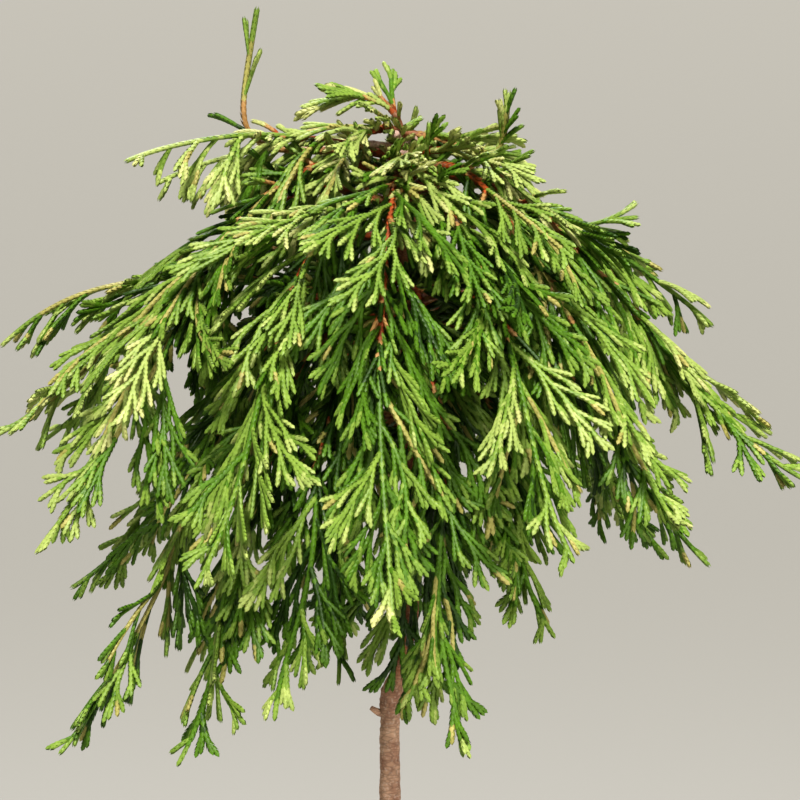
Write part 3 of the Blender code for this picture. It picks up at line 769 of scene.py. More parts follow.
limbFields = ("name", "azimuth", "sweep", "root", "rise", "reach", "tip", "fall", "bough", "spray",
              "lay")
limbRows = (
    ("upper_left", 186, 4, 813, 34, 212, 700, 26, 0.22, 64, 0),
    ("upper_left_front", 207, 2, 827, 34, 203, 648, 48, 0.22, 66, 0),
    ("upper_front_left", 236, 3, 806, 43, 190, 640, 52, 0.20, 68, 0),
    ("upper_front", 265, 3, 820, 38, 180, 622, 60, 0.20, 66, 0),
    ("upper_front_right", 293, 6, 813, 40, 176, 652, 55, 0.20, 66, 0),
    ("upper_right_front", 314, 5, 827, 34, 182, 664, 46, 0.22, 64, 0),
    ("upper_right", 346, 4, 834, 4, 213, 676, 28, 0.22, 64, 0),
    ("upper_right_back", 6, 8, 806, 24, 169, 752, 40, 0.22, 60, 14),
    ("upper_back_right", 40, 5, 820, 40, 195, 694, 44, 0.22, 64, 0),
    ("upper_back", 68, 5, 813, 40, 190, 670, 48, 0.20, 66, 0),
    ("upper_back_middle", 95, 4, 827, 38, 192, 664, 50, 0.20, 66, 0),
    ("upper_back_left", 121, 4, 806, 43, 190, 672, 48, 0.20, 66, 0),
    ("upper_left_back", 147, 4, 799, 8, 226, 684, 34, 0.22, 64, 0),
    ("left_whip", 169, 3, 778, -6, 214, 742, 44, 0.30, 36, -30),
    ("lower_left", 197, 2, 764, 30, 186, 542, 44, 0.26, 48, 0),
    ("lower_left_front", 222, 3, 750, 30, 155, 544, 62, 0.24, 58, 0),
    ("lower_front_left", 242, -5, 757, 27, 120, 566, 74, 0.0, 58, 0),
    ("lower_front", 281, 4, 771, 20, 106, 548, 76, 0.0, 54, 0),
    ("lower_right_front", 308, 3, 750, 32, 108, 604, 62, 0.0, 52, 0),
    ("lower_right", 347, 4, 764, 28, 158, 632, 44, 0.0, 58, 0),
    ("lower_right_back", 28, 3, 757, 32, 162, 626, 46, 0.0, 58, 0),
    ("lower_back_right", 62, 4, 771, 24, 150, 590, 56, 0.0, 58, 0),
    ("lower_back", 100, 4, 750, 32, 148, 570, 58, 0.0, 58, 0),
    ("lower_back_left", 136, 3, 771, 24, 152, 562, 56, 0.0, 58, 0),
    ("lower_left_back", 167, 3, 757, 30, 178, 614, 32, 0.0, 58, 0),
    ("inner_left", 205, 6, 706, 20, 46, 572, 78, 0.0, 50, 0),
    ("inner_right", 284, -20, 700, 20, 44, 556, 78, 0.0, 50, 0),
    ("inner_back", 75, 6, 703, 20, 58, 552, 78, 0.0, 50, 0),
    ("top_left_fan", 197, 2, 841, 16, 146, 841, 20, 0.24, 56, -22),
    ("top_hump", 172, 10, 857, 74, 50, 862, 40, 0.0, 35, 22),
    ("top_left", 136, 32, 844, 4, 128, 828, 30, 0.0, 44, -10),
    ("top_back", 74, 5, 841, 18, 84, 832, 30, 0.0, 38, 22),
    ("top_right", 22, 6, 846, 10, 84, 820, 46, 0.0, 38, 16),
    ("top_front_left", 232, 5, 855, 14, 88, 800, 46, 0.0, 38, 8),
    ("top_front", 270, 5, 834, 40, 92, 788, 52, 0.0, 40, 8),
    ("top_right_fan", 333, 5, 841, 24, 96, 798, 46, 0.0, 40, 12),
    ("right_fan", 352, 3, 823, -8, 121, 818, -36, 0.0, 34, 24),
    ("left_shoot", 172, 0, 848, -4, 76, 918, -102, 0.46, 26, 0),
    ("right_shoot", 352, 0, 855, -8, 57, 875, -84, 0.0, 24, 14),
)
# bend is how long a limb's two ends run straight, as a share of the way from root to tip. russet is
# its share in bark or brown scales. longer and weeping are factors of its shoots' length and droop,
# and splay and hang how many degrees more they turn outwards and down. A sunny limb has more of
# them straw, and longer.
usualWays = {"bend": 0.38, "russet": 0.25, "longer": 1.0, "weeping": 1.0, "splay": 0.0, "hang": 0.0,
             "sunny": False}
ownWays = {
    "upper_left": {"sunny": True},
    "upper_left_front": {"sunny": True},
    "upper_front_left": {"russet": 0.34},
    "upper_front": {"russet": 0.46},
    "upper_right_front": {"sunny": True},
    "upper_right": {"russet": 0.36},
    "upper_right_back": {"weeping": 1.5, "hang": 14.0},
    "upper_back_right": {"hang": 26.0},
    "upper_left_back": {"weeping": 1.6, "splay": 10.0},
    "left_whip": {"hang": 66.0, "sunny": True},
    "lower_left": {"sunny": True},
    "top_left_fan": {"russet": 0.32, "longer": 1.7, "weeping": 3.0, "splay": 22.0, "hang": 86.0},
    "top_hump": {"bend": 0.45},
    "top_left": {"longer": 1.4, "weeping": 2.2, "splay": 14.0, "hang": 62.0},
    "top_right": {"hang": 10.0},
    "top_front_left": {"weeping": 1.5},
    "top_right_fan": {"hang": 8.0},
    "left_shoot": {"bend": 0.80},
    "right_shoot": {"bend": 0.80},
}
limbs = [{"index": index, **dict(zip(limbFields, row)), **usualWays, **ownWays.get(row[0], {})}
         for index, row in enumerate(limbRows)]
swayValues = {"reach": 0.0045, "waves": (1.1, 2.3)}


def limbSway(limb, shares):
    # a slow sideways bend that grows towards the limb's tip
    rng = random.Random("sway " + limb["name"])
    start, waves = rng.uniform(0.0, 2.0 * math.pi), rng.uniform(*swayValues["waves"])
    bend = np.sin(start + 2.0 * np.pi * waves * shares) - math.sin(start)
    return swayValues["reach"] * bend * shares


def limbPoints(limb, shares):
    shares = np.asarray(shares, float)[:, None]
    reach = limb["reach"] * mm
    root = limb["root"] * mm
    drop = (limb["tip"] - limb["root"]) * mm
    pull = limb["bend"] * math.hypot(reach, drop)
    rise = math.radians(limb["rise"])
    fall = math.radians(limb["fall"])
    first = np.array([0.0, root])
    last = np.array([reach, root + drop])
    leaving = first + pull * np.array([math.cos(rise), math.sin(rise)])
    arriving = last - pull * np.array([math.cos(fall), -math.sin(fall)])
    rest = 1.0 - shares
    flat = (first * rest ** 3 + leaving * 3.0 * rest ** 2 * shares
            + arriving * 3.0 * rest * shares ** 2 + last * shares ** 3)
    turn = np.radians(limb["azimuth"] + limb["sweep"] * shares[:, 0])
    start = float(trunkX(root))
    sway = limbSway(limb, shares[:, 0])
    return np.stack([start + flat[:, 0] * np.cos(turn) - sway * np.sin(turn),
                     flat[:, 0] * np.sin(turn) + sway * np.cos(turn), flat[:, 1]], axis=-1)


def evenLimb(limb, step):
    # points an even step apart along the whole limb, with the share of its length at each
    dense = limbPoints(limb, np.linspace(0.0, 1.0, 400))
    run = np.concatenate([[0.0], np.cumsum(np.linalg.norm(np.diff(dense, axis=0), axis=1))])
    count = max(4, int(round(run[-1] / step)))
    wanted = np.linspace(0.0, run[-1], count + 1)
    points = np.stack([np.interp(wanted, run, dense[:, axis]) for axis in range(3)], axis=-1)
    return points, wanted / run[-1], run[-1]


def limbFacing(limb, heading, share):
    # square to the limb, on its lower and inner side
    turn = math.radians(limb["azimuth"] + limb["sweep"] * share)
    across = Vector((-math.sin(turn), math.cos(turn), 0.0))
    return -heading.cross(across).normalized()


# Cords of scale leaves: four leaves at each node, a pair at the sides and a pair above and below.
# Along is counted in pitches, across in half widths and up in half thicknesses.

def leafTemplate(sideTip, faceTip):
    # for each leaf: its foot, its two edges, the keel's highest point and its tip
    leaves = []
    for side in (1.0, -1.0):
        leaves += [(-0.20, 0.46 * side, 0.0), (0.42, 0.22 * side, 0.80), (0.42, 0.22 * side, -0.80),
                   (0.56, 0.90 * side, 0.0), (sideTip[0], sideTip[1] * side, 0.0)]
    for side in (1.0, -1.0):
        leaves += [(0.0, 0.0, 0.66 * side), (0.96, -0.68, 0.46 * side), (0.96, 0.68, 0.46 * side),
                   (0.92, 0.0, 1.0 * side), (faceTip[0], 0.0, faceTip[1] * side)]
    return np.array(leaves)


def leafTriangles():
    triangles = []
    for index, flipped in enumerate((False, True, True, False)):
        base = index * 5
        for a, b, c in ((0, 3, 1), (0, 2, 3), (1, 3, 4), (3, 2, 4)):
            if flipped:
                b, c = c, b
            triangles.append((base + a, base + b, base + c))
    return np.array(triangles)


leafShapes = {
    "body": leafTemplate((1.44, 1.04), (1.78, 0.92)),
    "bud": leafTemplate((1.24, 0.36), (1.56, 0.30)),
}
nodeTriangles = leafTriangles()

shadeNames = ("deep", "mid", "fresh", "lime", "gold", "straw", "tan", "russet")
leafNodes = {name: [] for name in shadeNames}


def addNodeLeaves(limb, shade, place, axes, pitch, halfWidth, halfThick, bud):
    # axes are the heading, the facing and the direction across both
    leafNodes[shade].append((limb["index"], *place, *axes[0], *axes[2], pitch, halfWidth, halfThick,
                             1.0 if bud else 0.0))


shadeValues = {
    "steps": ((0.22, "deep"), (0.43, "mid"), (0.66, "fresh"), (0.89, "lime"), (9.0, "gold")),
    "atRoot": 0.13,  # tone of the shoots nearest the trunk, kept low as painted shade deep in the crown
    "alongLimb": 0.32,  # how much lighter they are at its tip: painted shade deep in the crown, lighter towards its outside
    "alongAxis": 0.28,  # the same for the limb's own leaves: painted shade under its sprays
    "spread": 0.11,
    "upperSide": 0.12,  # how much lighter a shoot on the limb's upper side is: painted light above, painted shade below
    "perOrder": 0.03,
    "flicker": 0.03,  # from one node to the next
    "axisFlicker": 0.04,
    "tipNodes": 3,
    "tipGain": (0.03, 0.20),
    "strawTips": 0.04,  # of the tips
    "tanInRusset": 0.22,  # of the brown nodes on a limb
    "tanNodes": 2,  # the last of the brown nodes on a shoot
    "strawFromNode": 3,
    "strawUpTo": 0.86,  # of a sunny limb
    "strawShare": 0.10,  # of the side shoots, along their middle
    "strawOnSunny": 0.40,
    "sunnyLength": 1.14,  # how much longer the sunny limbs' shoots are
}


def shadeOf(tone):
    return next(name for limit, name in shadeValues["steps"] if tone < limit)


# Shoots, by order: 1 leaves the limb, 2 leaves those, and 3 is the short prongs near the ends.
# Lengths are mm and angles degrees. every is the distance between side shoots, and droop is how
# fast a shoot turns down, for each metre of its length.

shootValues = {
    0: {"pitch": 3.5, "halfWidth": 2.0, "every": 7.9, "everyAtTip": 11.6},
    1: {"pitch": 3.05, "halfWidth": 1.80, "every": 8.0, "first": 0.14, "child": 34.0,
        "angle": 28.0, "angleSpread": 9.0, "roll": 62.0, "twist": 55.0, "droop": 9.0},
    2: {"pitch": 2.8, "halfWidth": 1.66, "every": 8.8, "first": 0.32, "child": 14.5,
        "angle": 20.0, "angleSpread": 6.0, "roll": 14.0, "twist": 18.0, "droop": 11.0},
    3: {"pitch": 2.65, "halfWidth": 1.58, "every": 0.0, "first": 1.0, "child": 0.0,
        "angle": 18.0, "angleSpread": 5.0, "roll": 14.0, "twist": 14.0, "droop": 11.0},
}
cordValues = {
    "thickness": 0.74,  # half thickness as a share of half width
    "taper": 0.12,
    "fattenTip": 0.10,
    "wander": 8.0,  # sideways bend for each metre
    "remaining": 0.60,  # a side shoot's length as a share of what is left of its parent
    "lengthSpread": (0.84, 1.12),
    "forkSpread": (0.8, 1.2),
    "droopSpread": (0.7, 1.25),
    "shortest": 5.0,  # mm
}


def growShoot(limb, order, start, heading, facing, length, tone, rng, brownNodes=0):
    v = shootValues[order]
    pitch = v["pitch"] * mm
    count = max(2, int(round(length / pitch)))
    place = Vector(start)
    side = rng.choice((1.0, -1.0))
    wander = rng.gauss(0.0, 1.0) * cordValues["wander"] * pitch
    drooping = v["droop"] * pitch * rng.uniform(*cordValues["droopSpread"]) * limb["weeping"]
    nextFork = v["first"] * length
    strawTip = rng.random() < shadeValues["strawTips"]
    strawShare = shadeValues["strawOnSunny" if limb["sunny"] else "strawShare"]
    strawAxis = order == 1 and rng.random() < strawShare
    tipTone = tone + rng.uniform(*shadeValues["tipGain"])
    for index in range(count):
        share = index / count
        across = facing.cross(heading).normalized()
        facing = heading.cross(across)
        axes = (heading, facing, across)
        run = index * pitch
        if v["every"] and run >= nextFork and length - run > cordValues["shortest"] * mm:
            growSide(limb, order + 1, place, axes, side, length - run, v["child"] * mm, tone, rng)
            side = -side
            nextFork = run + v["every"] * mm * rng.uniform(*cordValues["forkSpread"])
        nodesLeft = count - 1 - index
        width = v["halfWidth"] * mm * (1.0 - cordValues["taper"] * share)
        if nodesLeft < shadeValues["tipNodes"]:
            width *= 1.0 + cordValues["fattenTip"]
            shade = "straw" if strawTip else shadeOf(tipTone)
        elif index < brownNodes:
            shade = "russet" if index < brownNodes - shadeValues["tanNodes"] else "tan"
        elif strawAxis and index >= shadeValues["strawFromNode"]:
            shade = "straw"
        else:
            shade = shadeOf(tone + rng.uniform(-shadeValues["flicker"], shadeValues["flicker"]))
        thick = width * cordValues["thickness"]
        addNodeLeaves(limb, shade, place, axes, pitch, width, thick, nodesLeft == 0)
        place = place + heading * pitch
        heading = (heading + down * drooping + across * wander).normalized()


def turnOff(axes, side, angle, roll, twist):
    # a side shoot's heading and facing
    heading, facing, across = axes
    outward = across * side * math.cos(roll) + facing * math.sin(roll)
    turned = (heading * math.cos(angle) + outward * math.sin(angle)).normalized()
    newFacing = (facing - turned * facing.dot(turned)).normalized()
    return turned, Matrix.Rotation(twist, 3, turned) @ newFacing


def growSide(limb, order, place, axes, side, remaining, full, tone, rng, lay=0.0, brownNodes=0):
    v = shootValues[order]
    length = min(full * rng.uniform(*cordValues["lengthSpread"]),
                 cordValues["remaining"] * remaining + cordValues["shortest"] * mm)
    splay = limb["splay"] if order == 1 else 0.0
    angle = math.radians(v["angle"] + splay + rng.uniform(-v["angleSpread"], v["angleSpread"]))
    roll = math.radians(lay + rng.uniform(-v["roll"], v["roll"]))
    twist = math.radians(rng.uniform(-v["twist"], v["twist"]))
    heading, facing = turnOff(axes, side, angle, roll, twist)
    # painted light: a shoot turned to the limb's upper side is lighter, one turned under it darker
    tone += shadeValues["perOrder"] - shadeValues["upperSide"] * math.sin(roll)
    growShoot(limb, order, place, heading, facing, length, tone, rng, brownNodes)


# Limb stems: bark first, then brown scale leaves, then green ones up to the tip

stemValues = {
    "sides": 9,
    "ringStep": 0.0013,
    "rootRadius": 0.00205,
    "endRadius": 0.00135,
    "barkShare": 0.16,  # of the limb, in bark
    "scalesFrom": 0.006,  # where brown scale leaves start to cover the bark
    "scaleProud": 0.00060,
    "russetSpread": 0.04,
    "russetLeast": 0.03,  # past the bark
    "knobs": (0.00022, 0.0032, 4),
    "lumps": (1.0, 0.007, 3),
    "lumpsFrom": 0.3,  # a higher share leaves fewer lumps
    "lumpHeight": 0.00044,
    "shootsFrom": 0.8,  # of the bough, and firstShoot beyond it
    "firstShoot": 0.006,
    "longerAtRoot": 0.22,
    "brownNodes": (0, 0, 0, 0, 2, 3),
    "brownUpTo": 0.5,  # of the limb
    # tierTone paints light on the top limbs, lit from above, and painted shade on the lower and inner
    # limbs under the crown
    "tierTone": {"upper": 0.08, "top": 0.36, "left": 0.14, "right": 0.14, "lower": -0.04,
                 "inner": -0.12},
}
# Sprigs clothe a limb's start on every side. from and to are shares of the limb, and every is mm.
sprigZones = {
    "side": ({"from": 0.02, "to": 0.25, "every": 4.2, "lengths": (16.0, 38.0), "angles": (34.0, 76.0),
              "rolls": (-80.0, 80.0), "toneGain": 0.22, "order": 2},
             {"from": 0.25, "to": 0.56, "every": 5.0, "lengths": (14.0, 34.0), "angles": (14.0, 38.0),
              "rolls": (-90.0, -10.0), "toneGain": 0.06, "order": 3}),
    "upright": ({"from": 0.04, "to": 0.40, "every": 3.4, "lengths": (6.0, 11.0), "angles": (20.0, 55.0),
                 "rolls": (-80.0, 80.0), "toneGain": 0.22, "least": 0.44, "order": 3},),
    # the top's sprigs get more tone and a floor to it, partly painted light from above
    "top": ({"from": 0.04, "to": 0.55, "every": 2.8, "lengths": (9.0, 19.0), "angles": (26.0, 66.0),
             "rolls": (-60.0, 50.0), "toneGain": 0.36, "least": 0.60, "order": 2},),
}
# toneByRoll darkens sprigs turned under the limb, as painted shade
sprigValues = {"toneByRoll": 0.16, "toneByRollUpTo": 0.4, "brownNodes": (0, 0, 0, 1, 2, 3),
               "spacing": (0.7, 1.2), "twist": 1.2}
uprightValues = {
    "left": {"every": 17.0, "child": 24.0, "order": 2, "brownShare": 0.66, "slim": 0.95},
    "right": {"every": 3.2, "child": 15.0, "order": 2, "brownShare": 0.5, "slim": 1.0},
    "lays": (50.0, 85.0),
    "fallBelow": -60.0,
}
stemParts = []


def limbKind(limb):
    return limb["name"].split("_")[0]


def growLimb(limb):
    rng = random.Random(limb["name"])
    s = stemValues
    v = shootValues[0]
    pitch = v["pitch"] * mm
    upright = limb["fall"] < uprightValues["fallBelow"]
    points, shares, length = evenLimb(limb, pitch)
    barkEnd = max(limb["bough"], s["barkShare"])
    russetEnd = limb["russet"] + rng.uniform(-1.0, 1.0) * s["russetSpread"]
    russetEnd = max(barkEnd + s["russetLeast"], russetEnd)
    shoot = uprightValues.get(limbKind(limb))
    if upright:
        russetEnd = shoot["brownShare"]
    addStem(limb, barkEnd)
    # the tier adds painted light at the top and painted shade low and inside the crown
    tone = shadeValues["atRoot"] + s["tierTone"][limbKind(limb)]
    growSprigs(limb, points, shares, length, tone, rng)
    side = rng.choice((1.0, -1.0))
    nextShoot = limb["bough"] * length * s["shootsFrom"] + s["firstShoot"]
    every, everyAtTip = v["every"] * mm, v["everyAtTip"] * mm
    if upright:
        every = everyAtTip = shoot["every"] * mm
    count = len(points) - 1
    # the tip takes the lightest end of the painted shade along the limb, and a lighter new tip
    tipTone = tone + shadeValues["alongLimb"] + rng.uniform(*shadeValues["tipGain"])
    for index in range(count):
        share = shares[index]
        axes = limbFrame(limb, points, index, share)
        place = Vector(points[index])
        run = share * length
        remaining = length - run
        if run >= nextShoot and remaining > cordValues["shortest"] * mm:
            full = limb["spray"] * mm * (1.0 + s["longerAtRoot"] * (1.0 - share))
            if limb["sunny"]:
                full *= shadeValues["sunnyLength"]
            full *= limb["longer"]
            if upright:
                full = shoot["child"] * mm
            # painted shade: sprays nearer the trunk are darker, deep in the crown; the spread is random
            sprayTone = tone + shadeValues["alongLimb"] * share + rng.gauss(0.0, shadeValues["spread"])
            brownNodes = rng.choice(s["brownNodes"]) if share < s["brownUpTo"] else 0
            lay = limb["lay"] + limb["hang"]
            if upright:
                lay = side * rng.uniform(*uprightValues["lays"])
            growSide(limb, shoot["order"] if upright else 1, place, axes, side, remaining, full,
                     sprayTone, rng, lay, brownNodes)
            side = -side
            spacing = every + (everyAtTip - every) * share
            nextShoot = run + spacing * rng.uniform(*cordValues["forkSpread"])
        if run < s["scalesFrom"]:
            continue
        nodesLeft = count - 1 - index
        if share < russetEnd:
            shade = "tan" if upright or rng.random() < shadeValues["tanInRusset"] else "russet"
        elif (limb["sunny"] or upright) and share < shadeValues["strawUpTo"]:
            shade = "straw"
        elif nodesLeft < shadeValues["tipNodes"]:
            shade = shadeOf(tipTone)
        else:
            # painted shade: the limb's own leaves are darker nearer the trunk, under its sprays
            flicker = rng.uniform(-shadeValues["axisFlicker"], shadeValues["axisFlicker"])
            shade = shadeOf(tone + shadeValues["alongAxis"] * share + flicker)
        width = v["halfWidth"] * mm * (1.0 - cordValues["taper"] * share)
        thick = width * cordValues["thickness"]
        if share < barkEnd:
            width = max(width, stemRadius(share / barkEnd) + s["scaleProud"])
            thick = width
        elif upright:
            width *= shoot["slim"]
            thick = width * shoot["slim"]
        addNodeLeaves(limb, shade, place, axes, pitch, width, thick, nodesLeft == 0)


def limbFrame(limb, points, index, share):
    heading = Vector(points[index + 1] - points[max(index - 1, 0)]).normalized()
    facing = limbFacing(limb, heading, share)
    return heading, facing, facing.cross(heading).normalized()


def growSprigs(limb, points, shares, length, tone, rng):
    side = rng.choice((1.0, -1.0))
    kind = "upright" if limb["fall"] < uprightValues["fallBelow"] else "side"
    for zone in sprigZones["top" if limbKind(limb) == "top" else kind]:
        nextSprig = zone["from"] * length
        for index in range(len(points) - 1):
            run = shares[index] * length
            if run < nextSprig or shares[index] > zone["to"]:
                continue
            nextSprig = run + zone["every"] * mm * rng.uniform(*sprigValues["spacing"])
            axes = limbFrame(limb, points, index, shares[index])
            growSprig(limb, axes, Vector(points[index]), side, zone, tone, rng)
            side = -side


def growSprig(limb, axes, place, side, zone, tone, rng):
    v = sprigValues
    angle = math.radians(rng.uniform(*zone["angles"]))
    roll = math.radians(rng.uniform(*zone["rolls"]))
    heading, facing = turnOff(axes, side, angle, roll, rng.uniform(-v["twist"], v["twist"]))
    sprigTone = tone + zone["toneGain"] + rng.gauss(0.0, shadeValues["spread"])
    # painted shade: a sprig turned under the limb is darker
    sprigTone += v["toneByRoll"] * (min(-math.sin(roll), v["toneByRollUpTo"]) - v["toneByRollUpTo"])
    sprigTone = max(sprigTone, zone.get("least", 0.0))
    growShoot(limb, zone["order"], place, heading, facing, rng.uniform(*zone["lengths"]) * mm,
              sprigTone, rng, rng.choice(v["brownNodes"]))


def stemRadius(share):
    s = stemValues
    return s["rootRadius"] + (s["endRadius"] - s["rootRadius"]) * share


def addStem(limb, barkEnd):
    s = stemValues
    points, shares, length = evenLimb(limb, s["ringStep"])
    # the path starts inside the trunk
    path = points[shares <= barkEnd]
    around = roundRings(len(path), s["sides"])
    along = eachRing(np.arange(len(path)) * s["ringStep"], s["sides"])
    radii = stemRadius(along / (barkEnd * length))
    seed = limb["root"] + limb["azimuth"]
    radii = radii + wrapRelief(around, along, s["knobs"], seed)
    lumps = wrapRelief(around, along, s["lumps"], seed + 1) - s["lumpsFrom"]
    radii = radii + s["lumpHeight"] * np.clip(lumps, 0.0, 1.0)
    stemParts.append(tubeArrays(path, radii))


# Short sprigs stand round the leader's tip, in a spiral from its lowest to its highest

crestValues = {
    "count": 30, "heights": (839.0, 857.0), "lengths": (6.0, 10.0), "climb": (0.0, 40.0),
    "climbSpread": 9.0, "seat": 0.7, "tone": 0.74, "spiral": 137.5, "brownNodes": (2, 2, 3, 4),
}


def growCrest(limb):
    c = crestValues
    rng = random.Random("crest")
    for index in range(c["count"]):
        share = index / (c["count"] - 1)
        turn = math.radians(index * c["spiral"])
        climb = c["climb"][0] + (c["climb"][1] - c["climb"][0]) * share
        climb = math.radians(climb + rng.gauss(0.0, c["climbSpread"]))
        height = (c["heights"][0] + (c["heights"][1] - c["heights"][0]) * share) * mm
        outward = Vector((math.cos(turn), math.sin(turn), 0.0))
        heading = (outward * math.cos(climb) - down * math.sin(climb)).normalized()
        facing = (outward * -math.sin(climb) - down * math.cos(climb)).normalized()
        place = Vector((float(trunkX(height)), 0.0, height))
        place += outward * trunkValues["leaderTopRadius"] * c["seat"]
        growShoot(limb, 2, place, heading, facing, rng.uniform(*c["lengths"]) * mm,
                  c["tone"] + rng.gauss(0.0, shadeValues["spread"]), rng, rng.choice(c["brownNodes"]))


for limb in limbs:
    growLimb(limb)
growCrest(next(limb for limb in limbs if limb["name"] == "top_hump"))
print("shoots grown:", sum(len(rows) for rows in leafNodes.values()), "leaf nodes")


# Foliage pieces: one kind and shade each, every piece under the triangle limit

pieceLimit = 190000
# lighter and darker copies of the leaf colour: as the tone rules choose them, deep and mid are partly
# painted shade inside and under the crown, lime and gold partly painted light at its top and outside
leafShades = {
    "deep": ("335410", "24400a", "567433"),
    "mid": ("5a841c", "466916", "84a150"),
    "fresh": ("88a544", "6e8d34", "a9bf6e"),
    "lime": ("aebe6b", "95aa58", "c7d28c"),
    "gold": ("c6ca86", "b0b66e", "d8dc9a"),
    "straw": ("b6af66", "98954e", "d0cb92"),
    "tan": ("b98f58", "9c7443", "d6b98c"),
    "russet": ("b4592a", "86401f", "d08e5c"),
}
leafFinish = {
    "roughness": 0.46, "specular": 0.36, "patchScale": 120.0, "fleckScale": 1500.0,
    "fleckAmount": 0.22, "bump": 0.30, "bumpDepth": 0.00025,
}


def leafArrays(rows):
    place, heading, across = rows[:, 1:4], rows[:, 4:7], rows[:, 7:10]
    up = np.cross(heading, across)
    pitch, width, thick, bud = rows[:, 10], rows[:, 11], rows[:, 12], rows[:, 13]
    shape = np.where(bud[:, None, None] > 0.5, leafShapes["bud"][None], leafShapes["body"][None])
    points = (place[:, None, :]
              + heading[:, None, :] * (shape[:, :, 0] * pitch[:, None])[:, :, None]
              + across[:, None, :] * (shape[:, :, 1] * width[:, None])[:, :, None]
              + up[:, None, :] * (shape[:, :, 2] * thick[:, None])[:, :, None])
    corners = shape.shape[1]
    faces = nodeTriangles[None] + (np.arange(len(rows)) * corners)[:, None, None]
    return points.reshape(-1, 3), faces.reshape(-1, 3)


def buildLeaves():
    total = 0
    for shade in shadeNames:
        material = mottledMaterial("leaves_" + shade, {**leafFinish, "shades": leafShades[shade]})
        rows = np.array(leafNodes[shade])
        limit = pieceLimit // len(nodeTriangles)
        parts = int(math.ceil(len(rows) / limit))
        edges = np.linspace(0, len(rows), parts + 1).astype(int)
        for part in range(parts):
            chunk = rows[edges[part]:edges[part + 1]]
            points, faces = leafArrays(chunk)
            masses = sorted({"mass_" + limbs[int(index)]["name"] for index in chunk[:, 0]})
            newPiece("leaves_%s_%d" % (shade, part + 1), points, faces, material, masses)
            total += len(faces)
    print("leaves made:", total, "triangles")


youngBarkValues = {
    "shades": ("94603f", "70432b", "c49e80"), "roughness": 0.66,
    "patchScale": 130.0, "fleckScale": 900.0, "fleckAmount": 0.3,
    "bump": 0.5, "bumpDepth": 0.0004,
}
buildLeaves()
boughNames = ["bough_" + limb["name"] for limb in limbs if limb["bough"]]
stemPoints, stemFaces = joinArrays(stemParts)
newPiece("bough_bark", stemPoints, stemFaces, mottledMaterial("young_bark_skin", youngBarkValues),
         boughNames)
print("boughs made:", len(stemFaces) * 2, "triangles")


# Floor, light and camera

floorValues = {
    "radius": 60.0, "step": 4.0, "sides": 96,
    "flat": 6.0,  # beyond this distance it rises gently, as a backdrop
    "rise": 8.0,
    "colour": "a2a19d", "speck": "8f8e8a", "speckScale": 260.0, "speckShare": 0.03,
    "roughness": 0.9, "specular": 0.2,
}


def buildFloor():
    v = floorValues
    radii = np.append(np.arange(v["radius"], v["flat"], -v["step"]), v["flat"])
    heights = v["rise"] * ((radii - v["flat"]) / (v["radius"] - v["flat"])) ** 2
    ring = circlePoints(v["sides"])
    points = np.concatenate([np.column_stack([ring * radius, np.full(v["sides"], height)])
                             for radius, height in zip(radii, heights)])
    middle = range(len(points) - v["sides"], len(points))
    faces = ringFaces(len(radii), v["sides"]).tolist() + [list(middle)]
    mesh = bpy.data.meshes.new("studio_floor")
    mesh.from_pydata(points.tolist(), [], faces)
    mesh.shade_smooth()
    floor = bpy.data.objects.new("studio_floor", mesh)
    bpy.context.scene.collection.objects.link(floor)
    material, tree, shader = newMaterial("floor_paint", v)
    speck = addNode(tree, "ShaderNodeTexNoise",
                    values={"Vector": objectPoint(tree), "Scale": v["speckScale"], "Detail": 2.0})
    amount = calculate(tree, "MULTIPLY", speck.outputs["Fac"], v["speckShare"])
    colour = mixColours(tree, paint(v["colour"]), paint(v["speck"]), amount)
    tree.links.new(colour, shader.inputs["Base Color"])
    mesh.materials.append(material)


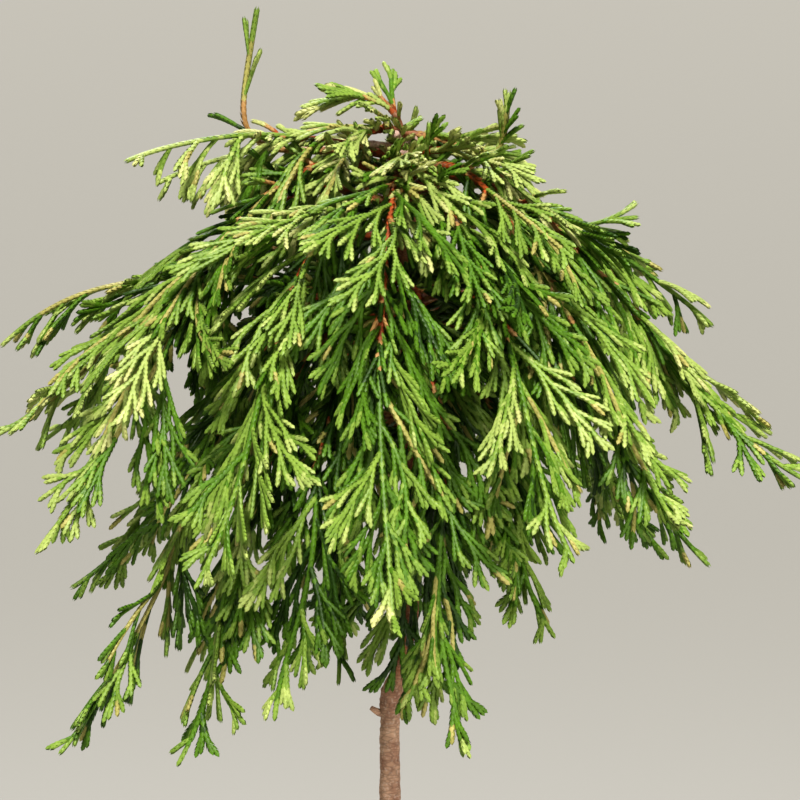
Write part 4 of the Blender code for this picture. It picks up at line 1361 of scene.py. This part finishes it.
# the key is a wide soft sun, so that the floor is as light in every view
lightValues = {
    "world": ("efefea", 0.17),
    "key": {"kind": "SUN", "place": (0.1, -2.6, 4.0), "size": 0.28, "power": 4.6, "colour": "fffbf4"},
    "fill": {"kind": "AREA", "place": (1.5, -1.5, 0.6), "size": 0.8, "power": 11.0, "colour": "fff8f2"},
    "back": {"kind": "AREA", "place": (-0.4, 1.9, 2.9), "size": 1.2, "power": 30.0, "colour": "f8faff"},
    "aim": (0.0, 0.0, 0.70),
}


def buildLights():
    world = bpy.data.worlds.new("studio_world")
    world.use_nodes = True
    background = world.node_tree.nodes["Background"]
    background.inputs["Color"].default_value = paint(lightValues["world"][0])
    background.inputs["Strength"].default_value = lightValues["world"][1]
    bpy.context.scene.world = world
    for name in ("key", "fill", "back"):
        v = lightValues[name]
        lamp = bpy.data.lights.new("light_" + name, v["kind"])
        if v["kind"] == "SUN":
            lamp.angle = v["size"]  # radians
        else:
            lamp.shape = "DISK"
            lamp.size = v["size"]
        lamp.energy = v["power"]
        lamp.color = paint(v["colour"])[:3]
        lampObject = bpy.data.objects.new("light_" + name, lamp)
        lampObject.location = v["place"]
        aim = Vector(lightValues["aim"]) - Vector(v["place"])
        lampObject.rotation_euler = aim.to_track_quat("-Z", "Y").to_euler()
        bpy.context.scene.collection.objects.link(lampObject)


cameraValues = {
    "scale": 0.00052,  # metres of the plant in one pixel of the photograph
    "pixels": 800,
    "distance": 2.0,
    "elevation": 5.0,  # degrees
    "aim": (0.0052, 0.0, 0.7158),
    "sensor": 36.0,
}


def buildCamera():
    v = cameraValues
    camera = bpy.data.cameras.new("camera")
    camera.sensor_width = v["sensor"]
    camera.lens = v["sensor"] * v["distance"] / (v["pixels"] * v["scale"])
    camera.clip_start = 0.05
    cameraObject = bpy.data.objects.new("camera", camera)
    tilt = math.radians(v["elevation"])
    back = Vector((0.0, -math.cos(tilt), math.sin(tilt)))
    cameraObject.location = Vector(v["aim"]) + back * v["distance"]
    cameraObject.rotation_euler = (math.radians(90.0) - tilt, 0.0, 0.0)
    bpy.context.scene.collection.objects.link(cameraObject)
    bpy.context.scene.camera = cameraObject


buildFloor()
buildLights()
buildCamera()
bpy.context.scene.view_settings.view_transform = "Standard"
bpy.context.scene.view_settings.look = "Medium High Contrast"
print("floor, light and camera made")
